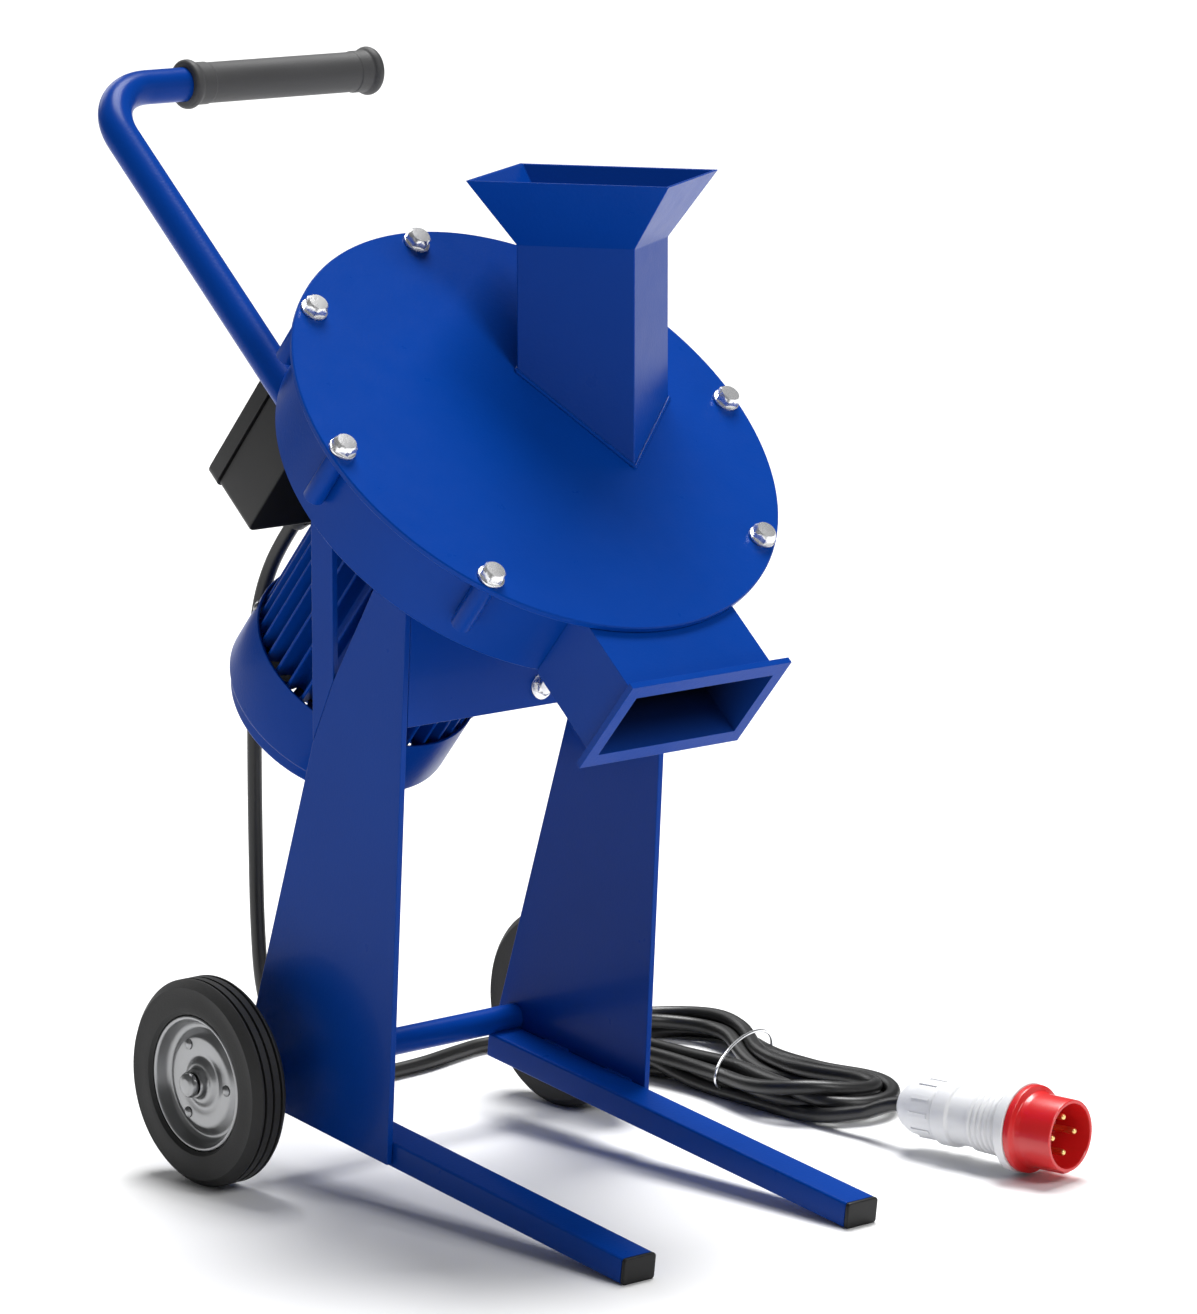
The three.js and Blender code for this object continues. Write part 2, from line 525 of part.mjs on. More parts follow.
// ---------------------------------------------------------------- motor
function makeMotor(motor) {
  const face = -2 * GAP;
  const stop = face - BEARING.stop;
  const bearingRear = face - BEARING.frontWidth;
  const bossRear = bearingRear - 3;
  const shaftHole = SHAFT.radius + FLANGE.shaftGap;
  const spigot = DRUM.spigotHole - GAP;
  const flange = [
    [shaftHole, stop],
    [shaftHole, face + FLANGE.spigot],
    [spigot, face + FLANGE.spigot],
    [spigot, face],
    [FLANGE.radius, face],
    [FLANGE.radius, FLANGE.rear],
    [BEARING.front + FLANGE.boss, FLANGE.rear],
    [BEARING.front + FLANGE.boss, bossRear],
    [BEARING.front + GAP, bossRear],
    [BEARING.front + GAP, stop],
    [shaftHole, stop],
  ];
  add(motor, "motor_flange", turned(flange.reverse(), 28), BLUE);
  add(motor, "front_bearing", ring(BEARING.front, SHAFT.radius + GAP, bearingRear, stop - GAP), STEEL);

  // the finned shell: a ring of radial fins round the stator's bore, closed at the rear by its shield
  const front = FLANGE.rear - GAP;
  const { finTip, finRoot, fins, finThickness, finTaper, rear, rearWall } = MOTOR;
  const tip = finThickness / 2 / finTip;
  const root = (finTaper * finThickness) / 2 / finRoot;
  const outline = [];
  for (let fin = 0; fin < fins; fin += 1) {
    const middle = (fin * 2 * Math.PI) / fins;
    outline.push(onCircle(finRoot, middle - root), onCircle(finTip, middle - tip));
    outline.push(onCircle(finTip, middle + tip), onCircle(finRoot, middle + root));
  }
  const shell = flat(outline, front - rear).translate(0, 0, rear);
  const bore = rod(MOTOR.bore, rear + rearWall, front + 1, 32);
  const bearingSeat = rod(BEARING.rear + GAP, rear + BEARING.stop, front);
  const shaftExit = rod(SHAFT.rearRadius + FLANGE.shaftGap + 0.5, rear - 1, front, 16);
  // a pad for the switch box, and the shell turned down where the cowl slides over it
  const padTop = BOX.bottom - ROTOR_Y - GAP;
  const pad = block(
    -PAD.halfWidth, PAD.halfWidth,
    finRoot - PAD.sunk, padTop,
    BOX.rear + PAD.inset, BOX.front - PAD.inset,
  );
  const lapRear = COWL.front - COWL.lap;
  const cowlSeat = cut(
    rod(finTip + 5, lapRear, COWL.front + GAP * 2, 48),
    rod(COWL.radius - COWL.wall - GAP, lapRear - 1, COWL.front + 1, 48),
  );
  add(motor, "motor_housing", cut(join(shell, pad), bore, bearingSeat, shaftExit, cowlSeat), BLUE);
  const bearingBack = rear + BEARING.stop;
  const rearBearing = ring(BEARING.rear, SHAFT.rearRadius + GAP, bearingBack + GAP, bearingBack + BEARING.rearWidth);
  add(motor, "rear_bearing", rearBearing, STEEL);
  add(motor, "stator_core", ring(MOTOR.bore - 2 * GAP, STATOR.bore, STATOR.rear, STATOR.front, 32), COPPER_STEEL);
}

function makeCowl(motor) {
  const { radius, endRadius, wall, step, rear, front, corner } = COWL;
  const profile = [
    [0, rear],
    [endRadius - corner, rear],
    [endRadius, rear + corner / 2],
    [endRadius, step - wall],
    [radius, step + wall + 1],
    [radius, front],
    [radius - wall, front],
    [radius - wall, step + 2 * wall + 1],
    [endRadius - wall, step + wall],
    [endRadius - wall, rear + corner / 2 + 1],
    [endRadius - corner - 1, rear + wall],
    [0, rear + wall],
  ];
  const { rings, first, pitch, halfWidth, web } = COWL_SLOT;
  const slots = [];
  for (let index = 0; index < rings; index += 1) {
    const middle = first + index * pitch;
    for (let quarter = 0; quarter < 4; quarter += 1) {
      const start = quarter * (Math.PI / 2) + web / middle;
      const end = (quarter + 1) * (Math.PI / 2) - web / middle;
      const slot = new THREE.Shape();
      slot.absarc(0, 0, middle + halfWidth, start, end, false);
      slot.absarc(0, 0, middle - halfWidth, end, start, true);
      slot.closePath();
      const tool = new THREE.ExtrudeGeometry(slot, { depth: 5 * wall, bevelEnabled: false, curveSegments: 4 });
      slots.push(tool.translate(0, 0, rear - 2 * wall));
    }
  }
  add(motor, "fan_cowl", cut(turned(profile, 32), ...slots), BLUE);
}

function makeSwitchBox(behind) {
  const { left, right, bottom, split, top, rear, front, wall, lidLip } = BOX;
  const shell = block(left, right, bottom, split, rear, front);
  const room = block(left + wall, right - wall, bottom + wall, split + 1, rear + wall, front - wall);
  const middle = (rear + front) / 2;
  const entry = rod(CABLE.radius + GAP, rear - 1, rear + wall + 1, 12).translate(GLAND.x, GLAND.y, 0);
  add(behind, "switch_box", cut(shell, room, entry), BLACK);

  const lid = block(left - lidLip, right + lidLip, split + GAP, top, rear - lidLip, front + lidLip);
  const pocket = block(left + wall, right - wall, split - 1, top - wall, rear + wall, front - wall);
  const { radius, travel, proud, shoulder, spare, startX, stopX } = BUTTON;
  const holes = [startX, stopX].map((x) =>
    rod(radius + 2 * GAP, -2 * wall, 2 * wall, 20).rotateX(Math.PI / 2).translate(x, top, middle),
  );
  add(behind, "switch_box_lid", cut(lid, pocket, ...holes), BLACK);

  // each button has a shoulder under the lid, further down than it travels
  const foot = -wall - travel - shoulder - spare;
  const plunger = (face) => [
    [0, foot],
    [radius + shoulder, foot],
    [radius + shoulder, -wall - GAP],
    [radius, -wall - GAP],
    [radius, proud],
    ...face,
  ];
  const start = turned(plunger([[0, proud]]), 20).rotateX(-Math.PI / 2);
  add(behind, "start_button", start, GREEN).position.set(startX, top, middle);
  const mushroom = [
    [radius + MUSHROOM.overhang, proud + 1],
    [radius + MUSHROOM.overhang, proud + MUSHROOM.height / 2],
    [radius, proud + MUSHROOM.height - 1],
    [0, proud + MUSHROOM.height],
  ];
  const stop = turned(plunger(mushroom), 20).rotateX(-Math.PI / 2);
  add(behind, "stop_button", stop, RED).position.set(stopX, top, middle);
}

function makeGland(behind) {
  const { hex, collar, tip, length, taper, x, y } = GLAND;
  const base = rod(hex, -collar, 0, 6);
  const dome = turned(
    [
      [0, -length],
      [tip, -length],
      [tip + 2, -length + taper],
      [hex - 2, -collar - taper],
      [hex - 2, -collar + 1],
      [0, -collar + 1],
    ],
    20,
  );
  const bore = rod(CABLE.radius + 2 * GAP, -length - 1, 1, 12);
  add(behind, "cable_gland", cut(join(base, dome), bore), BLACK).position.set(x, y, BOX.rear - GAP);
}

// ---------------------------------------------------------------- handle
function makeHandle(behind) {
  const handle = new THREE.Group();
  handle.position.set(HANDLE.x, 0, HANDLE.z);
  behind.add(handle);
  const { footLap, reach, bend, tube, wall } = HANDLE;
  // the foot laps the strut's rear edge, whose inner face it is welded to
  const depth = HANDLE.z - DRUM.depth;
  const strutRear = STRUT.front + STRUT.width;
  const foot = (strutRear - MILL.y + depth * Math.sin(MILL.tilt)) / Math.cos(MILL.tilt) - footLap;
  const end = GRIP.start + GRIP.length - GRIP.tubeShort - HANDLE.x;
  // one solid bar along the tube's line: up the slope, round the bend and to the right; the foot is closed
  const bar = (radius, start, extra) => {
    const arc = new THREE.CatmullRomCurve3(
      Array.from({ length: 13 }, (_, i) => {
        const angle = Math.PI - (i / 12) * (Math.PI / 2);
        return new THREE.Vector3(bend + bend * Math.cos(angle), reach - bend + bend * Math.sin(angle), 0);
      }),
    );
    const section = new THREE.Shape().absarc(0, 0, radius, 0, 2 * Math.PI, false);
    const sweep = { steps: 6, curveSegments: 8, bevelEnabled: false, extrudePath: arc };
    const elbow = new THREE.ExtrudeGeometry(section, sweep);
    const upright = rod(radius, start, reach - bend + 0.4, 20).rotateX(-Math.PI / 2);
    const across = crosswise(rod(radius, bend - 0.4, end + extra, 20)).translate(0, reach, 0);
    return join(elbow, upright, across);
  };
  add(handle, "handle_tube", cut(bar(tube, foot, 0), bar(tube - wall, foot + wall, 1)), BLUE);

  const inner = tube + GAP;
  const { length, radius, bead, beadWidth, taper } = GRIP;
  const profile = [
    [inner, 0],
    [bead - 2, 0],
    [bead, beadWidth],
    [bead, 2 * beadWidth],
    [radius, 2 * beadWidth + taper],
    [radius, length - GRIP.end - 3 * beadWidth],
    [bead, length - 3 * beadWidth],
    [bead, length - GRIP.end + 1],
    [bead - 4, length],
    [0, length],
    [0, length - GRIP.end],
    [inner, length - GRIP.end],
    [inner, 0],
  ];
  const grip = add(handle, "handle_grip", crosswise(turned(profile, 28)), RUBBER);
  grip.position.set(GRIP.start - HANDLE.x, reach, 0);
}

// ---------------------------------------------------------------- cable, in the machine's own frame
const RUN_POINTS = [
  [-12, 189.4, 479.6],
  [-12, 205, 461.5],
  [-12, 219, 442],
  [-13, 230, 417],
  [-14, 236, 387],
  [-15, 238, 340],
  [-15, 239, 280],
  [-14, 240, 215],
  [-12, 241, 150],
  [-7, 242, 100],
  [5, 242, 62],
  [26, 241, 34],
  [56, 239, 16],
  [90, 237, 8],
  [123, 238.7, 6.3],
  [160, 241.7, 6.3],
  [200, 250.7, 6.3],
  [234, 256.7, 6.3],
  [262, 253.7, 6.3],
  [284, 239.7, 6.3],
  [300.2, 217.9, 6.3],
];
const TAIL_POINTS = [
  [286, -114.8, 9],
  [288, -131.3, 13.5],
  [288.6, -149.3, 21],
  [288.8, -162.3, 26.8],
  [289.4, -175.3, 31.8],
  [290.7, -186.9, 34.4],
];
const PLUG_FRONT = [312, -344.3, 36.6];

function cableAlong(points, steps) {
  const curve = new THREE.CatmullRomCurve3(points.map((p) => new THREE.Vector3(...p)), false, "centripetal");
  const section = new THREE.Shape();
  for (let side = 0; side < CABLE.sides; side += 1) {
    const [x, y] = onCircle(CABLE.radius, (side * 2 * Math.PI) / CABLE.sides);
    if (side) section.lineTo(x, y);
    else section.moveTo(x, y);
  }
  return new THREE.ExtrudeGeometry(section, { steps, bevelEnabled: false, extrudePath: curve });
}

function stadium(half, halfWide) {
  const shape = new THREE.Shape();
  shape.absarc(0, half - halfWide, halfWide, 0, Math.PI, false);
  shape.absarc(0, -(half - halfWide), halfWide, Math.PI, 2 * Math.PI, false);
  shape.closePath();
  return shape;
}

function makeCable(root) {
  add(root, "cable_run", cableAlong(RUN_POINTS, 36), RUBBER);
  const outline = stadium(COIL.half, COIL.halfWide);
  outline.holes.push(stadium(COIL.half - COIL.ring, COIL.halfWide - COIL.ring));
  const coil = new THREE.ExtrudeGeometry(outline, { depth: COIL.height, bevelEnabled: false, curveSegments: 14 });
  const mesh = add(root, "cable_coil", coil, RUBBER);
  mesh.position.set(COIL.x, COIL.y, GAP);
  mesh.rotation.z = COIL.turn;
  add(root, "cable_tail", cableAlong(TAIL_POINTS, 5), RUBBER);
}

function makePlug(root) {
  const plug = new THREE.Group();
  const back = new THREE.Vector3(...TAIL_POINTS[TAIL_POINTS.length - 1]);
  const front = new THREE.Vector3(...PLUG_FRONT);
  const axis = front.clone().sub(back).normalize();
  plug.position.copy(back).addScaledVector(axis, 5 * GAP);
  plug.quaternion.setFromUnitVectors(new THREE.Vector3(0, 0, 1), axis);
  root.add(plug);
  const { length, hood, depth, nut, nutLength, band, bandLength, body, step } = PLUG;
  const { collar, collarLength, flare, rim, shroud, core, pin, pinCircle, pinSunk } = PLUG;
  const split = length - hood;
  const bandStart = nutLength + 2 * step;
  const bandEnd = bandStart + bandLength;
  const shell = [
    [0, 0],
    [nut - 5 * step, 0],
    [nut - 2.5 * step, 3 * step],
    [nut - step / 2, 7 * step],
    [nut, nutLength],
    [nut - step, nutLength + step],
    [band, bandStart],
    [band, bandEnd],
    [body, bandEnd + step],
    [body, split - collarLength - flare],
    [body + 2.5 * step, split - collarLength - 2 * step],
    [collar, split - collarLength],
    [collar, split],
    [0, split],
  ];
  add(plug, "plug_body", turned(shell, 24), LIGHT_GREY);
  const face = split + GAP;
  const hoodProfile = [
    [0, face],
    [collar - step / 2, face],
    [collar - step / 2, face + rim],
    [shroud + step / 2, face + rim + step],
    [shroud, length],
    [core, length],
    [core, length - depth],
    [0, length - depth],
  ];
  const sockets = [45, 135, 225, 315].map((angle) => {
    const [x, y] = onCircle(pinCircle, deg(angle));
    return rod(pin, length - depth - pinSunk, length, 8).translate(x, y, 0);
  });
  add(plug, "plug_shroud", cut(turned(hoodProfile, 24), ...sockets), RED);
}

// ---------------------------------------------------------------- the whole
const machine = new THREE.Group();
const mill = new THREE.Group();
mill.position.set(0, MILL.y, MILL.z);
mill.rotation.x = MILL.tilt;
machine.add(mill);
const drive = new THREE.Group();
drive.position.y = ROTOR_Y;
mill.add(drive);
const motor = new THREE.Group();
motor.position.z = -DRUM.depth;
drive.add(motor);
const behind = new THREE.Group();
behind.position.z = -DRUM.depth;
mill.add(behind);

makeRails(machine);
makeSidePlates(machine);
makeFrontPlate(machine);
makeAxle(machine);
makeWheels(machine);
makeHousing(mill);
makeDuct(mill);
makeCover(mill);
makeCoverBolts(mill);
makeHopper(machine);
makeScreen(mill);
makeRotor(drive);
makeMotorRotor(motor);
makeFan(motor);
makeMotor(motor);
makeCowl(motor);
makeSwitchBox(behind);
makeGland(behind);
makeHandle(behind);

machine.updateMatrixWorld(true);
const middle = new THREE.Box3().setFromObject(machine, true).getCenter(new THREE.Vector3());
machine.position.set(-middle.x, -middle.y, 0);

const root = new THREE.Group();
root.add(machine);
makeCable(root);
makePlug(root);

export default root;
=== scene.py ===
import json
from math import atan2, cos, exp, pi, radians, sin, tanh, tau

import bmesh
import bpy
import numpy as np
from mathutils import Matrix, Vector


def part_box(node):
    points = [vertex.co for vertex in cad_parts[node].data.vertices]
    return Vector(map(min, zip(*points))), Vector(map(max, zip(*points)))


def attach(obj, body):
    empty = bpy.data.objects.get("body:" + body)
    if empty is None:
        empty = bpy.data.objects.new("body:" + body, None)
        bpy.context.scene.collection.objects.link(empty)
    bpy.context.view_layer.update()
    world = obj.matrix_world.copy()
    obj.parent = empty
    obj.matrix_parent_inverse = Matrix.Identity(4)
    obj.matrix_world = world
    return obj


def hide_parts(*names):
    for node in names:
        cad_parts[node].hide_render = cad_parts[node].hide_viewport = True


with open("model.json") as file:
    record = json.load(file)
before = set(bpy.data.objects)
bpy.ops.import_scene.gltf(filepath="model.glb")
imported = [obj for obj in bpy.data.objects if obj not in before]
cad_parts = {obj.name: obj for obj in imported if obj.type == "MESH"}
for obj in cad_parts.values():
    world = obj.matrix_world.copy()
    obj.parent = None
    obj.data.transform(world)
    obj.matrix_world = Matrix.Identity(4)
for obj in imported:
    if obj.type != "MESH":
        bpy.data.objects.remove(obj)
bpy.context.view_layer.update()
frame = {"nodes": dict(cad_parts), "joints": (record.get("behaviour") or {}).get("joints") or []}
MM = 0.001


# ------------------------------------------------------------------ studio
# A wide soft sun overhead, a broad light in front, a weaker one behind, and a faint one at each side.
# The camera stands off the left front corner and looks a little down.
def link(name, data):
    thing = bpy.data.objects.new(name, data)
    bpy.context.collection.objects.link(thing)
    return thing


camera = link("camera", bpy.data.cameras.new("camera"))
camera.location = (-2.8906, -3.4387, 1.2383)
camera.rotation_euler = (radians(79.406), 0, radians(-41.364))
camera.data.lens = 164.69
camera.data.clip_end = 200
bpy.context.scene.camera = camera


def soft_light(name, place, target, size, watts):
    light = link(name, bpy.data.lights.new(name, "AREA"))
    light.data.size = size
    light.data.energy = watts
    light.location = place
    light.rotation_euler = (Vector(target) - Vector(place)).to_track_quat("-Z", "Y").to_euler()


soft_light("right_light", (3.0, -2.2, 1.5), (0, 0, 0.5), 1.8, 8)
soft_light("front_light", (0.4, -3.2, 2.8), (0, 0, 0.3), 1.4, 60)
soft_light("left_light", (-3.4, -0.2, 2.2), (0, 0, 0.5), 1.6, 2)
soft_light("back_light", (0.6, 3.2, 2.0), (0, 0, 0.4), 1.6, 24)
sun = link("overhead_sun", bpy.data.lights.new("overhead_sun", "SUN"))
sun.data.energy = 4.5
sun.data.angle = radians(32)
sun.rotation_euler = Vector((0.3, 0.24, 1)).to_track_quat("Z", "Y").to_euler()

world = bpy.data.worlds.new("studio")
world.use_nodes = True
world.node_tree.nodes["Background"].inputs["Color"].default_value = (0.97, 0.985, 1, 1)
world.node_tree.nodes["Background"].inputs["Strength"].default_value = 0.13
bpy.context.scene.world = world
bpy.context.scene.view_settings.view_transform = "Standard"


class Shade:
    """A value on its way through a material's nodes."""

    def __init__(self, tree, socket):
        self.tree = tree
        self.socket = socket

    def node(self, kind, settings=None, output=0, **inputs):
        made = self.tree.nodes.new(kind)
        for key, value in (settings or {}).items():
            if key == "stops":
                ramp = made.color_ramp
                while len(ramp.elements) < len(value):
                    ramp.elements.new(1)
                for element, (place, colour) in zip(ramp.elements, value):
                    element.position = place
                    element.color = (*colour, 1)
            else:
                setattr(made, key, value)
        for key, value in inputs.items():
            socket = made.inputs[int(key[1:]) if key[0] == "_" else key.replace("_", " ")]
            if isinstance(value, Shade):
                self.tree.links.new(value.socket, socket)
            else:
                socket.default_value = value
        return Shade(self.tree, made.outputs[output])

    def maths(self, operation, left, right, clamp=False):
        settings = {"operation": operation, "use_clamp": clamp}
        return self.node("ShaderNodeMath", settings, _0=left, _1=right)

    def __add__(self, other):
        return self.maths("ADD", self, other)

    def __radd__(self, other):
        return self.maths("ADD", other, self)

    def __sub__(self, other):
        return self.maths("SUBTRACT", self, other)

    def __rsub__(self, other):
        return self.maths("SUBTRACT", other, self)

    def __mul__(self, other):
        return self.maths("MULTIPLY", self, other)

    def __rmul__(self, other):
        return self.maths("MULTIPLY", other, self)

    def __gt__(self, other):
        return self.maths("GREATER_THAN", self, other)

    def mix(self, low, high):
        """The colour that goes from low to high as this value goes from 0 to 1."""
        return self.node("ShaderNodeMix", {"data_type": "RGBA"}, output=2, _0=self, _6=low, _7=high)

    def noise(self, scale, detail=2.0):
        return self.node("ShaderNodeTexNoise", Vector=self, Scale=scale, Detail=detail)

    def bump(self, height, strength):
        return self.node("ShaderNodeBump", Height=height, Strength=strength, Distance=0.001)


def material(name, paint, **fixed):
    """A principled material. paint gets the object's own coordinates and says which sockets vary."""
    made = bpy.data.materials.new(name)
    made.use_nodes = True
    shader = made.node_tree.nodes["Principled BSDF"]
    for key, value in fixed.items():
        shader.inputs[key.replace("_", " ")].default_value = value
    here = made.node_tree.nodes.new("ShaderNodeTexCoord").outputs["Object"]
    for key, value in paint(Shade(made.node_tree, here)).items():
        made.node_tree.links.new(value.socket, shader.inputs[key.replace("_", " ")])
    return made


def pale_floor(place):
    grey = place.noise(1.5)
    return {"Base_Color": grey.mix((0.9, 0.9, 0.9, 1), (0.92, 0.92, 0.92, 1))}


floor_mesh = bpy.data.meshes.new("floor")
FLOOR_HALF = 40
floor_mesh.from_pydata(
    [(x * FLOOR_HALF, y * FLOOR_HALF, -0.0004) for x, y in ((-1, -1), (1, -1), (1, 1), (-1, 1))],
    [],
    [(0, 1, 2, 3)],
)
floor = link("floor", floor_mesh)
floor.data.materials.append(material("pale_floor", pale_floor, Roughness=0.6))


# ------------------------------------------------------------------ cable
# Four-core rubber cable, 12 mm across. It leaves the switch box, drops to the floor, passes behind the
# right wheel and lies in a loose oval coil beside it. The turns are laid by a loop, then settled so that
# they lie on the floor and over each other.
CABLE_RADIUS = 6
RUN = [
    (-12, 189.4, 479.6),
    (-12, 205, 461.5),
    (-12, 219, 442),
    (-13, 230, 417),
    (-14, 236, 387),
    (-15, 238, 340),
    (-15, 239, 280),
    (-14, 240, 215),
    (-12, 241, 150),
    (-7, 242, 100),
    (5, 242, 62),
    (26, 241, 34),
    (56, 239, 16),
    (90, 237, 8),
    (123, 238.7, 6.3),
    (160, 241.7, 6.3),
    (200, 250.7, 6.3),
    (234, 256.7, 6.3),
    (262, 253.7, 6.3),
    (284, 239.7, 6.3),
    (300.2, 217.9, 6.3),
]
TAIL = [
    (286, -114.8, 9),
    (288, -131.3, 13.5),
    (288.6, -149.3, 21),
    (288.8, -162.3, 26.8),
    (289.4, -175.3, 31.8),
    (290.7, -186.9, 34.4),
]
STRAND_STEP = 7
SETTLING = 500
EASING = 8
SINK, HOMING, STIFFNESS, PUSH, EASE = 0.1, 0.015, 0.16, 0.8, 0.25
COIL_MIDDLE = (338, 54.7)
COIL_LEAN = radians(-6)
STRAIGHTNESS = 1.5
PINCH = 0.6
PINCH_Y = -24
PINCH_REACH = 88
COIL_FIRST = radians(128)
COIL_TURNS = 4 + 96 / 360


def coil_place(angle):
    """Where the cable lies at that angle of its winding, before it settles."""
    wound = (angle - COIL_FIRST) / tau
    half_long = 155 + 13 * sin(2.3 * wound + 0.6)
    half_wide = 76 + 7 * sin(2.6 * wound + 2.1)
    # An oval with round ends, drawn together where the tie holds it.
    bulge = (half_long - half_wide) * tanh(STRAIGHTNESS * sin(angle)) / tanh(STRAIGHTNESS)
    y = half_wide * sin(angle) + bulge
    pinch = PINCH * exp(-(((y - PINCH_Y) / PINCH_REACH) ** 2))
    x = (half_wide * (1 - pinch)) * cos(angle) + 6 * sin(2.2 * wound) - 22 * pinch
    y += 10 * sin(1.4 * wound + 0.5)
    height = CABLE_RADIUS + 12 * min(wound, 1.2 * (COIL_TURNS - wound))
    return (
        COIL_MIDDLE[0] + x * cos(COIL_LEAN) - y * sin(COIL_LEAN),
        COIL_MIDDLE[1] + x * sin(COIL_LEAN) + y * cos(COIL_LEAN),
        height,
    )


def evenly(points, step):
    """Points a step apart along the smooth curve through the given ones."""
    p = np.array([2 * np.array(points[0]) - points[1], *points, 2 * np.array(points[-1]) - points[-2]], float)
    fine = []
    for a, b, c, d in zip(p, p[1:], p[2:], p[3:]):
        for t in np.linspace(0, 1, 24, endpoint=False):
            squared = (2 * a - 5 * b + 4 * c - d) * t**2
            cubed = (3 * b - a - 3 * c + d) * t**3
            fine.append(0.5 * (2 * b + (c - a) * t + squared + cubed))
    fine.append(p[-2])
    fine = np.array(fine)
    along = np.concatenate([[0], np.cumsum(np.linalg.norm(np.diff(fine, axis=0), axis=1))])
    places = np.linspace(0, along[-1], int(round(along[-1] / step)) + 1)
    return np.stack([np.interp(places, along, fine[:, axis]) for axis in range(3)], axis=1)


def settled_cable():
    """The cable's centreline, with its coil pressed apart, stiff in bending and resting on the floor."""
    angles = [COIL_FIRST + tau * COIL_TURNS * i / 90 for i in range(91)]
    coil = [coil_place(angle) for angle in angles]
    line = evenly([*RUN, *coil[1:-2], *TAIL], STRAND_STEP)
    count = len(line)
    fixed_start = int(np.argmin(np.linalg.norm(line - np.array(RUN[-4]), axis=1)))
    fixed_end = int(np.argmin(np.linalg.norm(line - np.array(TAIL[2]), axis=1)))
    free = np.zeros(count)
    free[fixed_start:fixed_end] = 1
    home = line.copy()
    first, second = np.triu_indices(count, 6)
    near = 2 * CABLE_RADIUS + 0.3
    for turn in range(SETTLING):
        line[:, 2] -= SINK * free
        line[:, :2] += HOMING * (home - line)[:, :2] * free[:, None]
        # Bending stiffness: each point moves towards the line between points two steps away.
        for reach in (1, 2, 3):
            bend = 0.5 * (line[: -2 * reach] + line[2 * reach :]) - line[reach:-reach]
            home_bend = 0.5 * (home[: -2 * reach] + home[2 * reach :]) - home[reach:-reach]
            line[reach:-reach] += STIFFNESS * (bend - home_bend * [1, 1, 0]) * free[reach:-reach, None]
        gap = line[second] - line[first]
        length = np.linalg.norm(gap, axis=1)
        close = length < near
        f, s = first[close], second[close]
        push = 0.5 * (near / length[close] - 1)[:, None] * gap[close] * [0.6, 0.6, 1]
        np.add.at(line, f, -PUSH * push * free[f, None])
        np.add.at(line, s, PUSH * push * free[s, None])
        line[:, 2] = np.maximum(line[:, 2], CABLE_RADIUS + 0.1)
    for turn in range(EASING):
        line[1:-1] += EASE * (line[:-2] + line[2:] - 2 * line[1:-1]) * free[1:-1, None]
    return line


def rubber(place):
    grain = place.noise(900)
    smear = place.noise(14, 4.0)
    return {
        "Base_Color": smear.mix((0.003, 0.003, 0.0032, 1), (0.008, 0.008, 0.0084, 1)),
        "Roughness": 0.3 + 0.2 * smear,
        "Normal": place.bump(grain, 0.12),
    }


rubber_finish = material("cable_rubber", rubber)


def fit(piece, body, slot, *nodes):
    """The piece rides on a body and stands for the CAD nodes that it replaces. Its slot argument is not used.
    """
    piece.data.transform(piece.matrix_world)
    piece.matrix_world = Matrix.Identity(4)
    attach(piece, body)
    if nodes:
        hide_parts(*nodes)
    return piece


def wire(name, points, radius, finish, closed=False):
    curve = bpy.data.curves.new(name, "CURVE")
    curve.dimensions = "3D"
    curve.bevel_depth = radius * MM
    curve.bevel_resolution = 5
    curve.use_fill_caps = True
    spline = curve.splines.new("NURBS")
    spline.points.add(len(points) - 1)
    spline.points.foreach_set("co", [c for p in points for c in (*(np.array(p, float) * MM), 1)])
    spline.order_u = 3
    spline.use_endpoint_u = not closed
    spline.use_cyclic_u = closed
    spline.resolution_u = 3
    curve.materials.append(finish)
    return link(name, curve)


# The plug lies between these two points, and the cable runs a few steps on inside it.
PLUG_BACK = Vector(TAIL[-1])
PLUG_FRONT = Vector((312, -344.3, 36.6))
plug_axis = (PLUG_FRONT - PLUG_BACK).normalized()
cable_line = settled_cable()
for step in range(1, 5):
    cable_line = np.vstack([cable_line, PLUG_BACK + plug_axis * (step * STRAND_STEP)])
cable = wire("cable", cable_line, CABLE_RADIUS, rubber_finish)
fit(cable, "machine", "rubber", "cable_run", "cable_coil", "cable_tail")

# The tie is a loop of thin bright wire round all the strands, where the coil is drawn together.
TIE_PLACE = Vector((306, 27))
TIE_ALONG = Vector((0.9, 0.44)).normalized()
TIE_REACH = 90
TIE_SLACK = 9
TIE_RADIUS = 1.3


def bright_wire(place):
    return {"Roughness": 0.18 + 0.2 * place.noise(60)}


tie_across = Vector((TIE_ALONG.y, -TIE_ALONG.x))
crossing = []
for p, q in zip(cable_line, cable_line[1:]):
    before, after = Vector(p[:2]) - TIE_PLACE, Vector(q[:2]) - TIE_PLACE
    if before.dot(tie_across) * after.dot(tie_across) <= 0 and before.length < TIE_REACH:
        crossing.append((before.dot(TIE_ALONG), p[2]))
tie_near = min(along for along, z in crossing) - CABLE_RADIUS - TIE_SLACK / 2
tie_far = max(along for along, z in crossing) + CABLE_RADIUS + 2
tie_top = max(z for along, z in crossing) + CABLE_RADIUS + TIE_SLACK
tie_points = []
for i in range(28):
    angle = tau * i / 28
    along = (tie_near + tie_far) / 2 + (tie_far - tie_near) / 2 * cos(angle)
    x, y = TIE_PLACE + TIE_ALONG * along
    tie_points.append((x, y, max(tie_top / 2 * (1 + sin(angle)), TIE_RADIUS + 0.2)))
bright_finish = material("bright_wire", bright_wire, Base_Color=(0.85, 0.86, 0.88, 1), Metallic=1)
tie = wire("cable_tie", tie_points, TIE_RADIUS, bright_finish, closed=True)
fit(tie, "machine", "zinc")


